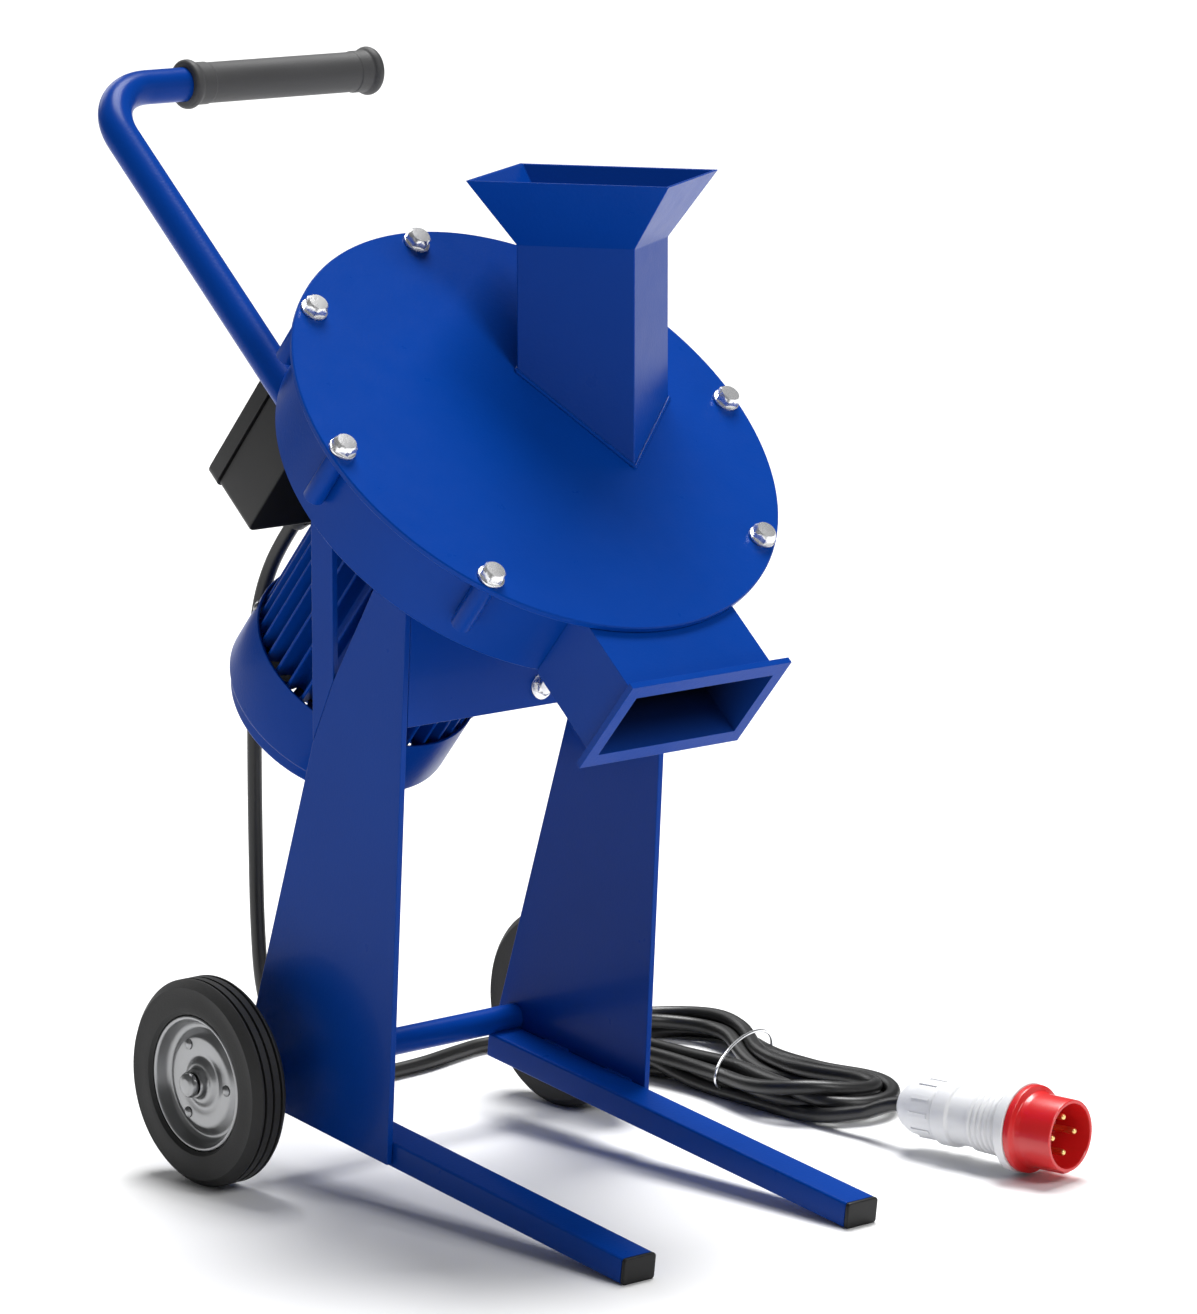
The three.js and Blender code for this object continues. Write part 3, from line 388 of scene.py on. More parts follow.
# ------------------------------------------------------------------ plug
# A 16 A four-pin plug: a ribbed grey body with a gland nut, a red hood on a round flange and four brass
# pins. It lies on its collar, and the cable goes into its back.
PLUG_LENGTH = 159
HOOD_LENGTH = 40
PIN_CIRCLE = 14
PIN_RADIUS = 2.6


def mesh_piece(name, bm, finish, sharp=32):
    """A linked object from a bmesh in millimetres, smooth where its faces meet at a small angle."""
    bmesh.ops.recalc_face_normals(bm, faces=bm.faces)
    bmesh.ops.scale(bm, vec=(MM, MM, MM), verts=bm.verts)
    mesh = bpy.data.meshes.new(name)
    bm.to_mesh(mesh)
    bm.free()
    mesh.shade_smooth()
    mesh.set_sharp_from_angle(angle=radians(sharp))
    mesh.materials.append(finish)
    return link(name, mesh)


def add_turned(bm, profile, steps=72, at=Matrix.Identity(4)):
    """Adds a solid of revolution about Z. The profile is (radius, z), and ends on the axis or closes."""
    rings = []
    for radius, z in profile:
        if radius < 1e-6:
            rings.append([bm.verts.new(at @ Vector((0, 0, z)))])
        else:
            angles = [tau * i / steps for i in range(steps)]
            rings.append([bm.verts.new(at @ Vector((radius * cos(a), radius * sin(a), z))) for a in angles])
    pairs = list(zip(rings, rings[1:]))
    if profile[0][0] > 1e-6 and profile[-1][0] > 1e-6:
        pairs.append((rings[-1], rings[0]))
    for low, high in pairs:
        for i in range(steps):
            j = (i + 1) % steps
            if len(low) == 1 and len(high) > 1:
                bm.faces.new((low[0], high[j], high[i]))
            elif len(high) == 1 and len(low) > 1:
                bm.faces.new((low[i], low[j], high[0]))
            elif len(low) > 1:
                bm.faces.new((low[i], low[j], high[j], high[i]))
    return bm


def turned(name, profile, finish, steps=72, at=Matrix.Identity(4)):
    return mesh_piece(name, add_turned(bmesh.new(), profile, steps, at), finish)


def cylinder(radius, low, high):
    """The profile of a plain cylinder."""
    return [(0, low), (radius, low), (radius, high), (0, high)]


def add_block(bm, size, middle, turn=0):
    """Adds a block with its middle at that place, turned about Z."""
    block = bmesh.ops.create_cube(bm, size=1)["verts"]
    place = Matrix.Rotation(turn, 4, "Z") @ Matrix.Translation(middle) @ Matrix.Diagonal((*size, 1))
    bmesh.ops.transform(bm, matrix=place, verts=block)


def softened(profile, radius, arc=3):
    """The profile with each inner corner rounded, as far as its two edges allow."""
    out = [profile[0]]
    for before, corner, after in zip(profile, profile[1:], profile[2:]):
        b, c, a = Vector(before), Vector(corner), Vector(after)
        reach = min(radius, (b - c).length * 0.45, (a - c).length * 0.45)
        start = c + (b - c).normalized() * reach
        end = c + (a - c).normalized() * reach
        for i in range(arc + 1):
            t = i / arc
            out.append(tuple((1 - t) ** 2 * start + 2 * t * (1 - t) * c + t * t * end))
    out.append(profile[-1])
    return out


def moulded(dark, light, gloss=0.38):
    """Moulded plastic: a fine grain, a little unevenness in colour and gloss."""

    def paint(place):
        cloud = place.noise(22, 3.0)
        return {
            "Base_Color": cloud.mix((*dark, 1), (*light, 1)),
            "Roughness": gloss + 0.12 * cloud,
            "Normal": place.bump(place.noise(1400), 0.08),
        }

    return paint


plug_turn = plug_axis.to_track_quat("Z", "Y").to_matrix().to_4x4()
plug_frame = Matrix.Translation((PLUG_BACK + plug_axis * 1.5) * MM) @ plug_turn
flange_at = PLUG_LENGTH - HOOD_LENGTH
RIB_FIRST, RIB_STEP, RIB_COUNT = 76, 5.4, 5
body_profile = [
    (0, 0), (12.5, 0), (17.5, 5), (21.3, 13), (22.5, 22), (22.5, 39), (20.5, 41), (25.6, 42.5),
    (25.6, 56), (22.8, 57.5), (23.2, 74),
]
for rib in range(RIB_COUNT):
    for radius, step in ((23.4, 0), (25.2, 1.2), (25.2, 3.4), (23.4, 4.6)):
        body_profile.append((radius + rib * 0.25, RIB_FIRST + RIB_STEP * rib + step))
body_profile += [(25.8, flange_at - 14), (31, flange_at - 9.5), (35.2, flange_at - 8)]
body_profile += [(35.2, flange_at), (0, flange_at)]
grey_plastic = material("grey_plastic", moulded((0.72, 0.725, 0.73), (0.8, 0.805, 0.81)), Coat_Weight=0.1)
plug_bm = add_turned(bmesh.new(), softened(body_profile, 1.2), 96)
GRIP_RIBS = 10
for i in range(GRIP_RIBS):
    add_block(plug_bm, (2.2, 3.2, 17), (22.2, 0, 28), tau * i / GRIP_RIBS)
plug_body = mesh_piece("plug_body_shell", plug_bm, grey_plastic)
plug_body.matrix_world = plug_frame
fit(plug_body, "machine", "grey_plastic", "plug_body")

hood_profile = [
    (0, flange_at + 0.3), (34.2, flange_at + 0.3), (34.2, flange_at + 6), (29.5, flange_at + 7.5),
    (28.6, flange_at + 12),
    (28, PLUG_LENGTH), (25, PLUG_LENGTH), (24.6, PLUG_LENGTH - 33), (0, PLUG_LENGTH - 33),
]
red_colours = moulded((0.55, 0.008, 0.01), (0.68, 0.014, 0.014), 0.26)
red_plastic = material("red_plastic", red_colours, Coat_Weight=0.25)
hood_bm = add_turned(bmesh.new(), softened(hood_profile, 1), 96)
add_block(hood_bm, (7, 3, 26), (0, -28.3, PLUG_LENGTH - 17))
hood = mesh_piece("plug_hood", hood_bm, red_plastic)
hood.matrix_world = plug_frame
fit(hood, "machine", "red_plastic", "plug_shroud")


def brass(place):
    return {"Roughness": 0.2 + 0.2 * place.noise(150)}


brass_finish = material("pin_brass", brass, Base_Color=(0.83, 0.6, 0.24, 1), Metallic=1)
pin_profile = [(0, -34), (PIN_RADIUS, -34), (PIN_RADIUS, -7), (PIN_RADIUS * 0.6, -5.6), (0, -5.6)]
pins_bm = bmesh.new()
for i in range(4):
    angle = i * pi / 2
    at = Matrix.Translation((PIN_CIRCLE * cos(angle), PIN_CIRCLE * sin(angle), PLUG_LENGTH))
    add_turned(pins_bm, softened(pin_profile, 1), 20, at)
pins = mesh_piece("plug_pins", pins_bm, brass_finish)
pins.matrix_world = plug_frame
fit(pins, "machine", "zinc")


# ------------------------------------------------------------------ rails and their caps
# Two welded rails of 30 x 20 mm tube slope down to the floor at the front, where black plastic caps
# close them. All steel is powder coated in glossy blue.
RAIL_WIDTH, RAIL_HEIGHT, RAIL_CORNER = 30, 20, 2.2
RAIL_LENGTH = 424
RAIL_SLOPE = radians(7.38)
CAP_HEAD = 4


def enamel(place):
    cloud = place.noise(9, 3.0)
    peel = place.noise(420, 1.0)
    dust = place.noise(55, 6.0)
    return {
        "Base_Color": cloud.mix((0.0008, 0.036, 0.250, 1), (0.0012, 0.044, 0.290, 1)),
        "Roughness": 0.24 + 0.12 * dust,
        "Normal": place.bump(peel, 0.1),
    }


blue = material("blue_powder_coat", enamel, Specular_IOR_Level=0.06, Coat_Weight=0.04, Coat_Roughness=0.1)
black_colours = moulded((0.006, 0.006, 0.0062), (0.01, 0.01, 0.0103), 0.36)
black_plastic = material("black_plastic", black_colours, Specular_IOR_Level=0.25)


def add_slab(bm, outline, low, high, at=Matrix.Identity(4)):
    """Adds a flat shape in x and y, from z = low to z = high."""
    bottom = [bm.verts.new(at @ Vector((x, y, low))) for x, y in outline]
    top = [bm.verts.new(at @ Vector((x, y, high))) for x, y in outline]
    bm.faces.new(bottom[::-1])
    bm.faces.new(top)
    for i in range(len(outline)):
        j = (i + 1) % len(outline)
        bm.faces.new((bottom[i], bottom[j], top[j], top[i]))
    return bm


def slab(name, outline, low, high, finish, edge=0.8, at=Matrix.Identity(4)):
    piece = mesh_piece(name, add_slab(bmesh.new(), outline, low, high, at), finish)
    return eased(piece, edge)


def eased(piece, edge, segments=2):
    """A small round on every sharp edge."""
    bevel = piece.modifiers.new("edge", "BEVEL")
    bevel.width = edge * MM
    bevel.segments = segments
    bevel.limit_method = "ANGLE"
    bevel.angle_limit = radians(32)
    bevel.harden_normals = True
    return piece


def rounded_box(width, height, radius, arc=5):
    """An outline with rounded corners, centred on zero."""
    points = []
    for quarter, (sx, sy) in enumerate(((1, 1), (-1, 1), (-1, -1), (1, -1))):
        for i in range(arc + 1):
            angle = (quarter + i / arc) * pi / 2
            x = sx * (width / 2 - radius) + radius * cos(angle)
            y = sy * (height / 2 - radius) + radius * sin(angle)
            points.append((x, y))
    return points


def middle_of(node):
    low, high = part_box(node)
    return (Vector(low) + Vector(high)) / 2


rails_y = (Vector(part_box("left_rail")[0]).y) / MM
# The rail's own Z runs along the rail.
ALONG_Y = Matrix.Rotation(-pi / 2, 4, "X")
for side in ("left", "right"):
    rail_x = middle_of(f"{side}_rail").x
    rail_start = rails_y + RAIL_HEIGHT * sin(RAIL_SLOPE)
    rail_foot = Matrix.Translation((rail_x, rail_start * MM, 0)) @ Matrix.Rotation(RAIL_SLOPE, 4, "X")
    rail_frame = rail_foot @ Matrix.Translation((0, 0, RAIL_HEIGHT / 2 * MM)) @ ALONG_Y
    tube_shape = rounded_box(RAIL_WIDTH, RAIL_HEIGHT, RAIL_CORNER)
    rail = slab(f"{side}_rail_tube", tube_shape, 0, RAIL_LENGTH - 12, blue, 0.3)
    rail.matrix_world = rail_frame
    fit(rail, "machine", "blue_paint", f"{side}_rail")
    cap_shape = rounded_box(RAIL_WIDTH + 0.6, RAIL_HEIGHT + 0.4, RAIL_CORNER + 0.6)
    cap = slab(f"{side}_end_cap", cap_shape, -CAP_HEAD, -0.3, black_plastic, 1.1)
    cap.matrix_world = rail_frame
    fit(cap, "machine", "black_plastic", f"{side}_rail_cap")


# ------------------------------------------------------------------ the mill's tilted frame
# The drum, its cover, the duct and the motor share one frame: x to the right, y up the slope and z
# along the rotor's axis. It comes from the rotor's joint.
ROTOR_Y = 20.6
spin = next(joint for joint in frame["joints"] if joint["name"] == "rotor_spin")
TILT = atan2(-spin["axis"][1], spin["axis"][2])
DRUM_MIDDLE_Z = -40
mill_frame = (
    Matrix.Translation(spin["pos_m"])
    @ Matrix.Rotation(TILT, 4, "X")
    @ Matrix.Translation((0, -ROTOR_Y * MM, -DRUM_MIDDLE_Z * MM))
)
motor_frame = mill_frame @ Matrix.Translation((0, ROTOR_Y * MM, 0))


def from_mill(x, y, z):
    """A point of the mill's frame, in millimetres of the machine's frame."""
    return (mill_frame @ Vector((x * MM, y * MM, z * MM))) / MM


# ------------------------------------------------------------------ side plates, struts and front plate
# Two 5 mm plates stand on the rails and carry the drum on their sloping top edge. A flat bar behind each
# one and a plate between their front edges stiffen them. Short welds join them to the rails and drum.
PLATE_THICKNESS = 5
DRUM_BACK = -75.3


def behind_drum(y):
    """The height at which a line at that y meets the plane behind the drum."""
    foot = from_mill(0, 0, DRUM_BACK)
    return foot.z + (y - foot.y) * sin(TILT) / cos(TILT)


def on_stand(y, z):
    """A point given from the rails' front end, in the machine's frame."""
    return (rail_start + y, z)


def edge_y(z):
    """The front edge of the side plates leans back a little from its foot."""
    return FOOT_FRONT - (z - FOOT_FRONT * sin(RAIL_SLOPE) / cos(RAIL_SLOPE)) * sin(EDGE_LEAN) / cos(EDGE_LEAN)


FOOT_FRONT, FOOT_REAR, ABOVE_FLOOR = 256.4, 438, 3
EDGE_LEAN = radians(3.5)
STRUT_FRONT, STRUT_REAR, STRUT_FOOT_FRONT, STRUT_FOOT_REAR = 316, 341, 397, 347
TOP_REAR = -43
FRONT_PLATE_BOTTOM, FRONT_PLATE_THICKNESS = 372.8, 4
top_y = edge_y(485)
for step in range(20):
    top_y = edge_y(behind_drum(rail_start + top_y))
front_top = (rail_start + top_y, behind_drum(rail_start + top_y))
rear_top = from_mill(0, TOP_REAR, DRUM_BACK)
slope = sin(RAIL_SLOPE) / cos(RAIL_SLOPE)
plate_outline = [
    on_stand(FOOT_FRONT, FOOT_FRONT * slope + ABOVE_FLOOR),
    on_stand(FOOT_REAR, FOOT_REAR * slope + ABOVE_FLOOR),
    on_stand(STRUT_REAR, STRUT_FOOT_REAR),
    on_stand(STRUT_FRONT, STRUT_FOOT_FRONT),
    (rear_top.y, rear_top.z),
    front_top,
]
strut_outline = [
    on_stand(STRUT_FRONT, STRUT_FOOT_FRONT + 0.6),
    on_stand(STRUT_REAR, STRUT_FOOT_REAR + 0.6),
    (rail_start + STRUT_REAR, behind_drum(rail_start + STRUT_REAR)),
    (rail_start + STRUT_FRONT, behind_drum(rail_start + STRUT_FRONT)),
]
# A slab's x and y become the machine's Y and Z, and its thickness runs along X.
UPRIGHT = Matrix(((0, 0, 1, 0), (1, 0, 0, 0), (0, 1, 0, 0), (0, 0, 0, 1)))
for side in ("left", "right"):
    low_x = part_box(f"{side}_side_plate")[0][0] / MM
    side_plate = slab(f"{side}_plate", plate_outline, low_x, low_x + PLATE_THICKNESS, blue, 0.6, UPRIGHT)
    fit(side_plate, "machine", "blue_paint", f"{side}_side_plate")
    strut = slab(f"{side}_strut", strut_outline, low_x, low_x + PLATE_THICKNESS, blue, 0.6, UPRIGHT)
    fit(strut, "machine", "blue_paint", f"{side}_rear_strut")

front_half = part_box("front_plate")[1][0] / MM
front_outline = [
    on_stand(edge_y(FRONT_PLATE_BOTTOM), FRONT_PLATE_BOTTOM),
    on_stand(edge_y(FRONT_PLATE_BOTTOM) + FRONT_PLATE_THICKNESS, FRONT_PLATE_BOTTOM),
    (front_top[0] + FRONT_PLATE_THICKNESS, behind_drum(front_top[0] + FRONT_PLATE_THICKNESS)),
    front_top,
]
front_plate = slab("front_stiffener", front_outline, -front_half, front_half, blue, 0.6, UPRIGHT)
fit(front_plate, "machine", "blue_paint", "front_plate")


def add_bead(bm, start, end, radius):
    """A weld bead: a row of overlapping ripples from start to end."""
    start, end = Vector(start), Vector(end)
    run = end - start
    turn = run.to_track_quat("Z", "Y").to_matrix().to_4x4()
    count = max(3, int(run.length / (radius * 0.8)))
    profile = [(0, -radius * 0.5)]
    for i in range(count + 1):
        swell = radius * (1 if i % 2 else 0.82)
        profile.append((swell, run.length * i / count))
    profile.append((0, run.length + radius * 0.5))
    return add_turned(bm, profile, 10, Matrix.Translation(start) @ turn)


WELD_RADIUS = 1.5
welds = bmesh.new()
for side, sign in (("left", -1), ("right", 1)):
    rail_side = middle_of(f"{side}_rail").x / MM + sign * RAIL_WIDTH / 2
    rail_top = RAIL_HEIGHT / cos(RAIL_SLOPE)
    bead_x = rail_side - sign * 0.2
    for stretch in ((270, 300), (345, 372)):
        ends = [(bead_x, *on_stand(y, y * slope + rail_top - 0.6)) for y in stretch]
        add_bead(welds, *ends, WELD_RADIUS)
    corner_x = sign * (front_half - 0.8)
    for stretch in ((378, 402), (440, 466)):
        ends = [(corner_x, *on_stand(edge_y(z) + 4.6, z)) for z in stretch]
        add_bead(welds, *ends, WELD_RADIUS)
beads = mesh_piece("stand_welds", welds, blue, 60)
fit(beads, "machine", "blue_paint")


def hex_profile_piece(name, across, height, washer, washer_height, finish):
    """A hexagon head with a domed, chamfered top on a round washer. Its base is at z = 0."""
    bm = bmesh.new()
    add_turned(bm, softened(cylinder(washer, 0, washer_height), 0.5), 40)
    side = across / 2
    corner = side / cos(pi / 6) * 0.985
    steps = 48
    rings = []
    outlines = (
        (washer_height - 0.05, corner), (washer_height + 0.4, corner), (height * 0.72, corner),
        (height * 0.9, side * 0.955), (height, side * 0.856),
    )
    for level, limit in outlines:
        ring = []
        for i in range(steps):
            angle = tau * i / steps
            reach = min(side / cos((angle + pi / 6) % (pi / 3) - pi / 6), limit)
            ring.append(bm.verts.new((reach * cos(angle), reach * sin(angle), level)))
        rings.append(ring)
    dome = bm.verts.new((0, 0, height + 0.25))
    for low, high in zip(rings, rings[1:]):
        for i in range(steps):
            j = (i + 1) % steps
            bm.faces.new((low[i], low[j], high[j], high[i]))
    for i in range(steps):
        bm.faces.new((rings[-1][i], rings[-1][(i + 1) % steps], dome))
    bm.faces.new(rings[0][::-1])
    return mesh_piece(name, bm, finish, 28)


def plated(dark, light, gloss):
    """Zinc on steel: a cloudy, lightly grained metal. The rims' passivated zinc is greyer than the bolts'."""

    def paint(place):
        cloud = place.noise(35, 4.0)
        return {
            "Base_Color": cloud.mix((*dark, 1), (*light, 1)),
            "Roughness": gloss + 0.2 * cloud,
            "Normal": place.bump(place.noise(500), 0.06),
        }

    return paint


zinc = material("zinc_plate", plated((0.26, 0.262, 0.266), (0.34, 0.343, 0.348), 0.22), Metallic=1)
bolt_zinc = material("bolt_zinc", plated((0.78, 0.78, 0.79), (0.9, 0.9, 0.9), 0.16), Metallic=0.85)
stand_bolt = hex_profile_piece("stand_bolt", 13, 7, 10, 1.6, bolt_zinc)
bolt_z = 388
stand_bolt.matrix_world = (
    Matrix.Translation(Vector((3, rail_start + edge_y(bolt_z), bolt_z)) * MM)
    @ Matrix.Rotation(pi / 2 - EDGE_LEAN, 4, "X")
)
fit(stand_bolt, "machine", "zinc")


# ------------------------------------------------------------------ axle and wheels
# A zinc-plated rod runs through a welded cross tube and both side plates. Each wheel is a pressed rim
# with three raised bumps and a grooved solid rubber tyre, kept on by a domed cap.
TYRE_RADIUS, TYRE_WIDTH, RIM_RADIUS, WHEEL_X = 80, 32, 52.7, 0.18
TUBE_RADIUS = 10.65
axle_middle = middle_of("axle_tube")
CROSSWISE = Matrix.Rotation(pi / 2, 4, "Y")
tube_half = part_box("axle_tube")[1][0] / MM
tube_profile = [(TUBE_RADIUS, -tube_half), (TUBE_RADIUS, tube_half), (8, tube_half), (8, -tube_half)]
cross_tube = turned("cross_tube", tube_profile, blue, 48)
cross_tube.matrix_world = Matrix.Translation(axle_middle) @ CROSSWISE
fit(cross_tube, "machine", "blue_paint", "axle_tube")
rod_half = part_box("axle_rod")[1][0] / MM
axle = turned("axle_pin", softened(cylinder(6, -rod_half, rod_half), 0.8), zinc, 32)
axle.matrix_world = Matrix.Translation(axle_middle) @ CROSSWISE
fit(axle, "machine", "zinc", "axle_rod")


def tyre_rubber(place):
    grain = place.noise(700, 3.0)
    dust = place.noise(16, 5.0)
    return {
        "Base_Color": dust.mix((0.007, 0.007, 0.007, 1), (0.015, 0.0148, 0.0145, 1)),
        "Roughness": 0.55 + 0.2 * dust,
        "Normal": place.bump(grain, 0.2),
    }


tyre_finish = material("tyre_rubber", tyre_rubber)
half = TYRE_WIDTH / 2
tyre_wall = [
    (RIM_RADIUS + 0.3, half - 3), (RIM_RADIUS + 3, half - 0.4), (60, half), (66, half - 1),
    (74, half), (78.4, half - 4),
]
tyre_profile = [(radius, -x) for radius, x in tyre_wall]
groove_side = [(TYRE_RADIUS, 2.4), (TYRE_RADIUS, 1.1), (77.4, 0.8)]
for groove in (-7.5, 0, 7.5):
    tyre_profile += [(radius, groove - x) for radius, x in groove_side]
    tyre_profile += [(radius, groove + x) for radius, x in groove_side[::-1]]
tyre_profile += tyre_wall[::-1]
rim_profile = [
    (6.3, -44), (11, -44), (11, 0), (20, 3.2), (34, 3), (43, -2), (47.5, -12.4), (52.5, -13),
    (52.5, 13), (50.4, 13.6), (49, 12.6), (46, 4), (42, 2), (35, 7.5), (26, 7.4), (20, 6),
    (15.5, 9.4), (12, 10), (11, 15.8), (6.3, 15.8),
]
BUMP_COUNT, BUMP_CIRCLE = 3, 31


def on_axle(x):
    """A frame on the axle whose Z points away from the machine's middle."""
    middle = Matrix.Translation((x, axle_middle.y, axle_middle.z))
    return middle @ Matrix.Rotation(pi / 2 if x > 0 else -pi / 2, 4, "Y")


for side, sign in (("left", -1), ("right", 1)):
    hub_place = on_axle(sign * WHEEL_X)
    tyre = turned(f"{side}_wheel_tyre", tyre_profile, tyre_finish, 128)
    tyre.matrix_world = hub_place
    fit(tyre, f"{side}_wheel", "tyre", f"{side}_tyre")
    rim_bm = add_turned(bmesh.new(), softened(rim_profile, 2), 96)
    for i in range(BUMP_COUNT):
        angle = tau * i / BUMP_COUNT + 0.5
        at = Matrix.Translation((BUMP_CIRCLE * cos(angle), BUMP_CIRCLE * sin(angle), 7.2))
        add_turned(rim_bm, [(0, -2), (5, -2), (4.2, 1), (2.4, 2.3), (0, 2.7)], 20, at)
    rim = mesh_piece(f"{side}_pressed_rim", rim_bm, zinc)
    rim.matrix_world = hub_place
    fit(rim, f"{side}_wheel", "zinc", f"{side}_wheel_rim")
    cap_profile = [(0, 0.3), (10, 0.3), (10, 2), (8.8, 4.6), (5, 6), (0, 6.3)]
    hub_cap = turned(f"{side}_hub_cap", softened(cap_profile, 0.8), zinc, 48)
    hub_cap.matrix_world = on_axle(sign * rod_half * MM)
    fit(hub_cap, "machine", "zinc", f"{side}_axle_cap")


# ------------------------------------------------------------------ drum, duct and cover
# The drum is a rolled steel band on a round back, with seven bolt bosses welded to its wall. The
# discharge duct leaves it down the slope, and the flat cover is bolted on its front.
COVER_RADIUS, COVER_THICKNESS = 200, 5
DRUM_RADIUS, DRUM_WALL, DRUM_DEPTH = 181.6, 4, 75
BOLT_CIRCLE = 188
BOLT_ANGLES = [radians(a) for a in (0, 45, 90, 135, 180, 225, 315)]
DUCT_HALF, DUCT_WALL, DUCT_END, LIP = 70, 3, 252, 5
HOPPER_WIDE, HOPPER_NARROW, HOPPER_WALL = 92, 88, 3
HOPPER_TURN = radians(-58.5)
hopper_place = Vector((0.074, (rail_start + 256.3) * MM, 0))


def carve(piece, *tools):
    """Cuts the tools out of the piece, and removes them."""
    for tool in tools:
        cut = piece.modifiers.new("cut", "BOOLEAN")
        cut.object = tool
        cut.solver = "EXACT"
    bpy.context.view_layer.update()
    graph = bpy.context.evaluated_depsgraph_get()
    done = bpy.data.meshes.new_from_object(piece.evaluated_get(graph))
    piece.modifiers.clear()
    done.set_sharp_from_angle(angle=radians(32))
    piece.data = done
    for tool in tools:
        bpy.data.objects.remove(tool)
    return piece


def turned_tool(profile, steps, at):
    tool = turned("tool", profile, blue, steps)
    tool.matrix_world = at
    return tool


def box_tool(low, high, at=Matrix.Identity(4)):
    bm = bmesh.new()
    low, high = Vector(low), Vector(high)
    add_block(bm, high - low, (low + high) / 2)
    tool = mesh_piece("tool", bm, blue)
    tool.matrix_world = at
    return tool


drum_front = -COVER_THICKNESS - 0.3
drum_profile = [
    (0, -DRUM_DEPTH), (DRUM_RADIUS - 2, -DRUM_DEPTH), (DRUM_RADIUS, -DRUM_DEPTH + 2),
    (DRUM_RADIUS, drum_front - 3.4), (DRUM_RADIUS + 1.6, drum_front - 3),
    (DRUM_RADIUS + 1.6, drum_front), (DRUM_RADIUS - DRUM_WALL, drum_front),
    (DRUM_RADIUS - DRUM_WALL, -DRUM_DEPTH + 5), (0, -DRUM_DEPTH + 5),
]
drum = turned("drum", drum_profile, blue, 192)
drum.matrix_world = mill_frame
spigot = turned_tool(cylinder(35, -90, -60), 48, motor_frame)
outlet = box_tool((-DUCT_HALF + 3, -205, -70), (DUCT_HALF - 3, -120, drum_front - 3), mill_frame)
carve(drum, spigot, outlet)
fit(drum, "machine", "blue_paint", "mill_housing")
bosses = bmesh.new()
for angle in BOLT_ANGLES:
    at = Matrix.Translation((BOLT_CIRCLE * cos(angle), BOLT_CIRCLE * sin(angle), 0))
    add_turned(bosses, softened(cylinder(8, -51.3, drum_front), 0.8), 32, at)
boss_piece = mesh_piece("bolt_bosses", bosses, blue)
boss_piece.matrix_world = mill_frame
fit(boss_piece, "machine", "blue_paint")

# The duct: a box of folded sheet with a flat flange round its mouth, open into the drum.
duct_bm = bmesh.new()
low_z, high_z = -DRUM_DEPTH, -COVER_THICKNESS - 0.6
outer = [(-DUCT_HALF, low_z), (DUCT_HALF, low_z), (DUCT_HALF, high_z), (-DUCT_HALF, high_z)]
inner = [
    (x * (1 - DUCT_WALL / DUCT_HALF), low_z + DUCT_WALL if z == low_z else high_z - DUCT_WALL)
    for x, z in outer
]
lip_outer = [(x / DUCT_HALF * (DUCT_HALF + 8), low_z - 10 if z == low_z else high_z + 10) for x, z in outer]
duct_top = -150


def loop_at(bm, shape, y):
    return [bm.verts.new((x, y, z)) for x, z in shape]


loops = [
    loop_at(duct_bm, outer, duct_top), loop_at(duct_bm, outer, -DUCT_END + LIP),
    loop_at(duct_bm, lip_outer, -DUCT_END + LIP), loop_at(duct_bm, lip_outer, -DUCT_END),
    loop_at(duct_bm, inner, -DUCT_END), loop_at(duct_bm, inner, duct_top),
]
for a, b in zip(loops, [*loops[1:], loops[0]]):
    for i in range(4):
        j = (i + 1) % 4
        duct_bm.faces.new((a[i], a[j], b[j], b[i]))
duct = mesh_piece("duct", duct_bm, blue)
duct.matrix_world = mill_frame
carve(duct, turned_tool(cylinder(DRUM_RADIUS + 0.5, -200, 80), 192, mill_frame))
eased(duct, 1.0)


# How far into the duct the painted shade goes before it reaches near black, in metres.
PAINTED_SHADE_DEPTH = 0.045


def painted_duct_shade(place):
    """The duct's inside: painted shade that darkens its blue enamel to near black from the mouth inwards."""
    forward = place.node("ShaderNodeSeparateXYZ", output=1, Vector=place)
    upward = place.node("ShaderNodeSeparateXYZ", output=2, Vector=place)
    foot = mill_frame.translation
    inwards = (forward - foot.y) * cos(TILT) + (upward - foot.z) * sin(TILT) + DUCT_END * MM
    painted_shade = inwards.maths("MULTIPLY", inwards, 1 / PAINTED_SHADE_DEPTH, True)
    return {
        "Base_Color": painted_shade.mix((0.0012, 0.030, 0.200, 1), (0.002, 0.0024, 0.004, 1)),
        "Roughness": 0.5 + 0.3 * place.noise(90, 4.0),
    }


duct.data.materials.append(material("painted_duct_shade", painted_duct_shade, Specular_IOR_Level=0.1))
# The duct's inner faces take the painted shade as their second material.
for face in duct.data.polygons:
    x, y, z = face.center / MM
    wall = DUCT_WALL - 0.5
    if abs(x) < DUCT_HALF - wall and low_z + wall < z < high_z - wall and y > 3 - DUCT_END:
        face.material_index = 1
fit(duct, "machine", "blue_paint", "discharge_duct")

cover_profile = [
    (0, -COVER_THICKNESS), (COVER_RADIUS - 0.6, -COVER_THICKNESS),
    (COVER_RADIUS, -COVER_THICKNESS + 0.8), (COVER_RADIUS, -0.9), (COVER_RADIUS - 0.9, 0), (0, 0),
]
cover = turned("cover", cover_profile, blue, 192)
cover.matrix_world = mill_frame
throat = box_tool(
    (-HOPPER_WIDE / 2 + HOPPER_WALL, -HOPPER_NARROW / 2 + HOPPER_WALL, 400),
    (HOPPER_WIDE / 2 - HOPPER_WALL, HOPPER_NARROW / 2 - HOPPER_WALL, 800),
    Matrix.Translation(hopper_place) @ Matrix.Rotation(HOPPER_TURN, 4, "Z"),
)
carve(cover, throat)
fit(cover, "machine", "blue_paint", "front_cover")

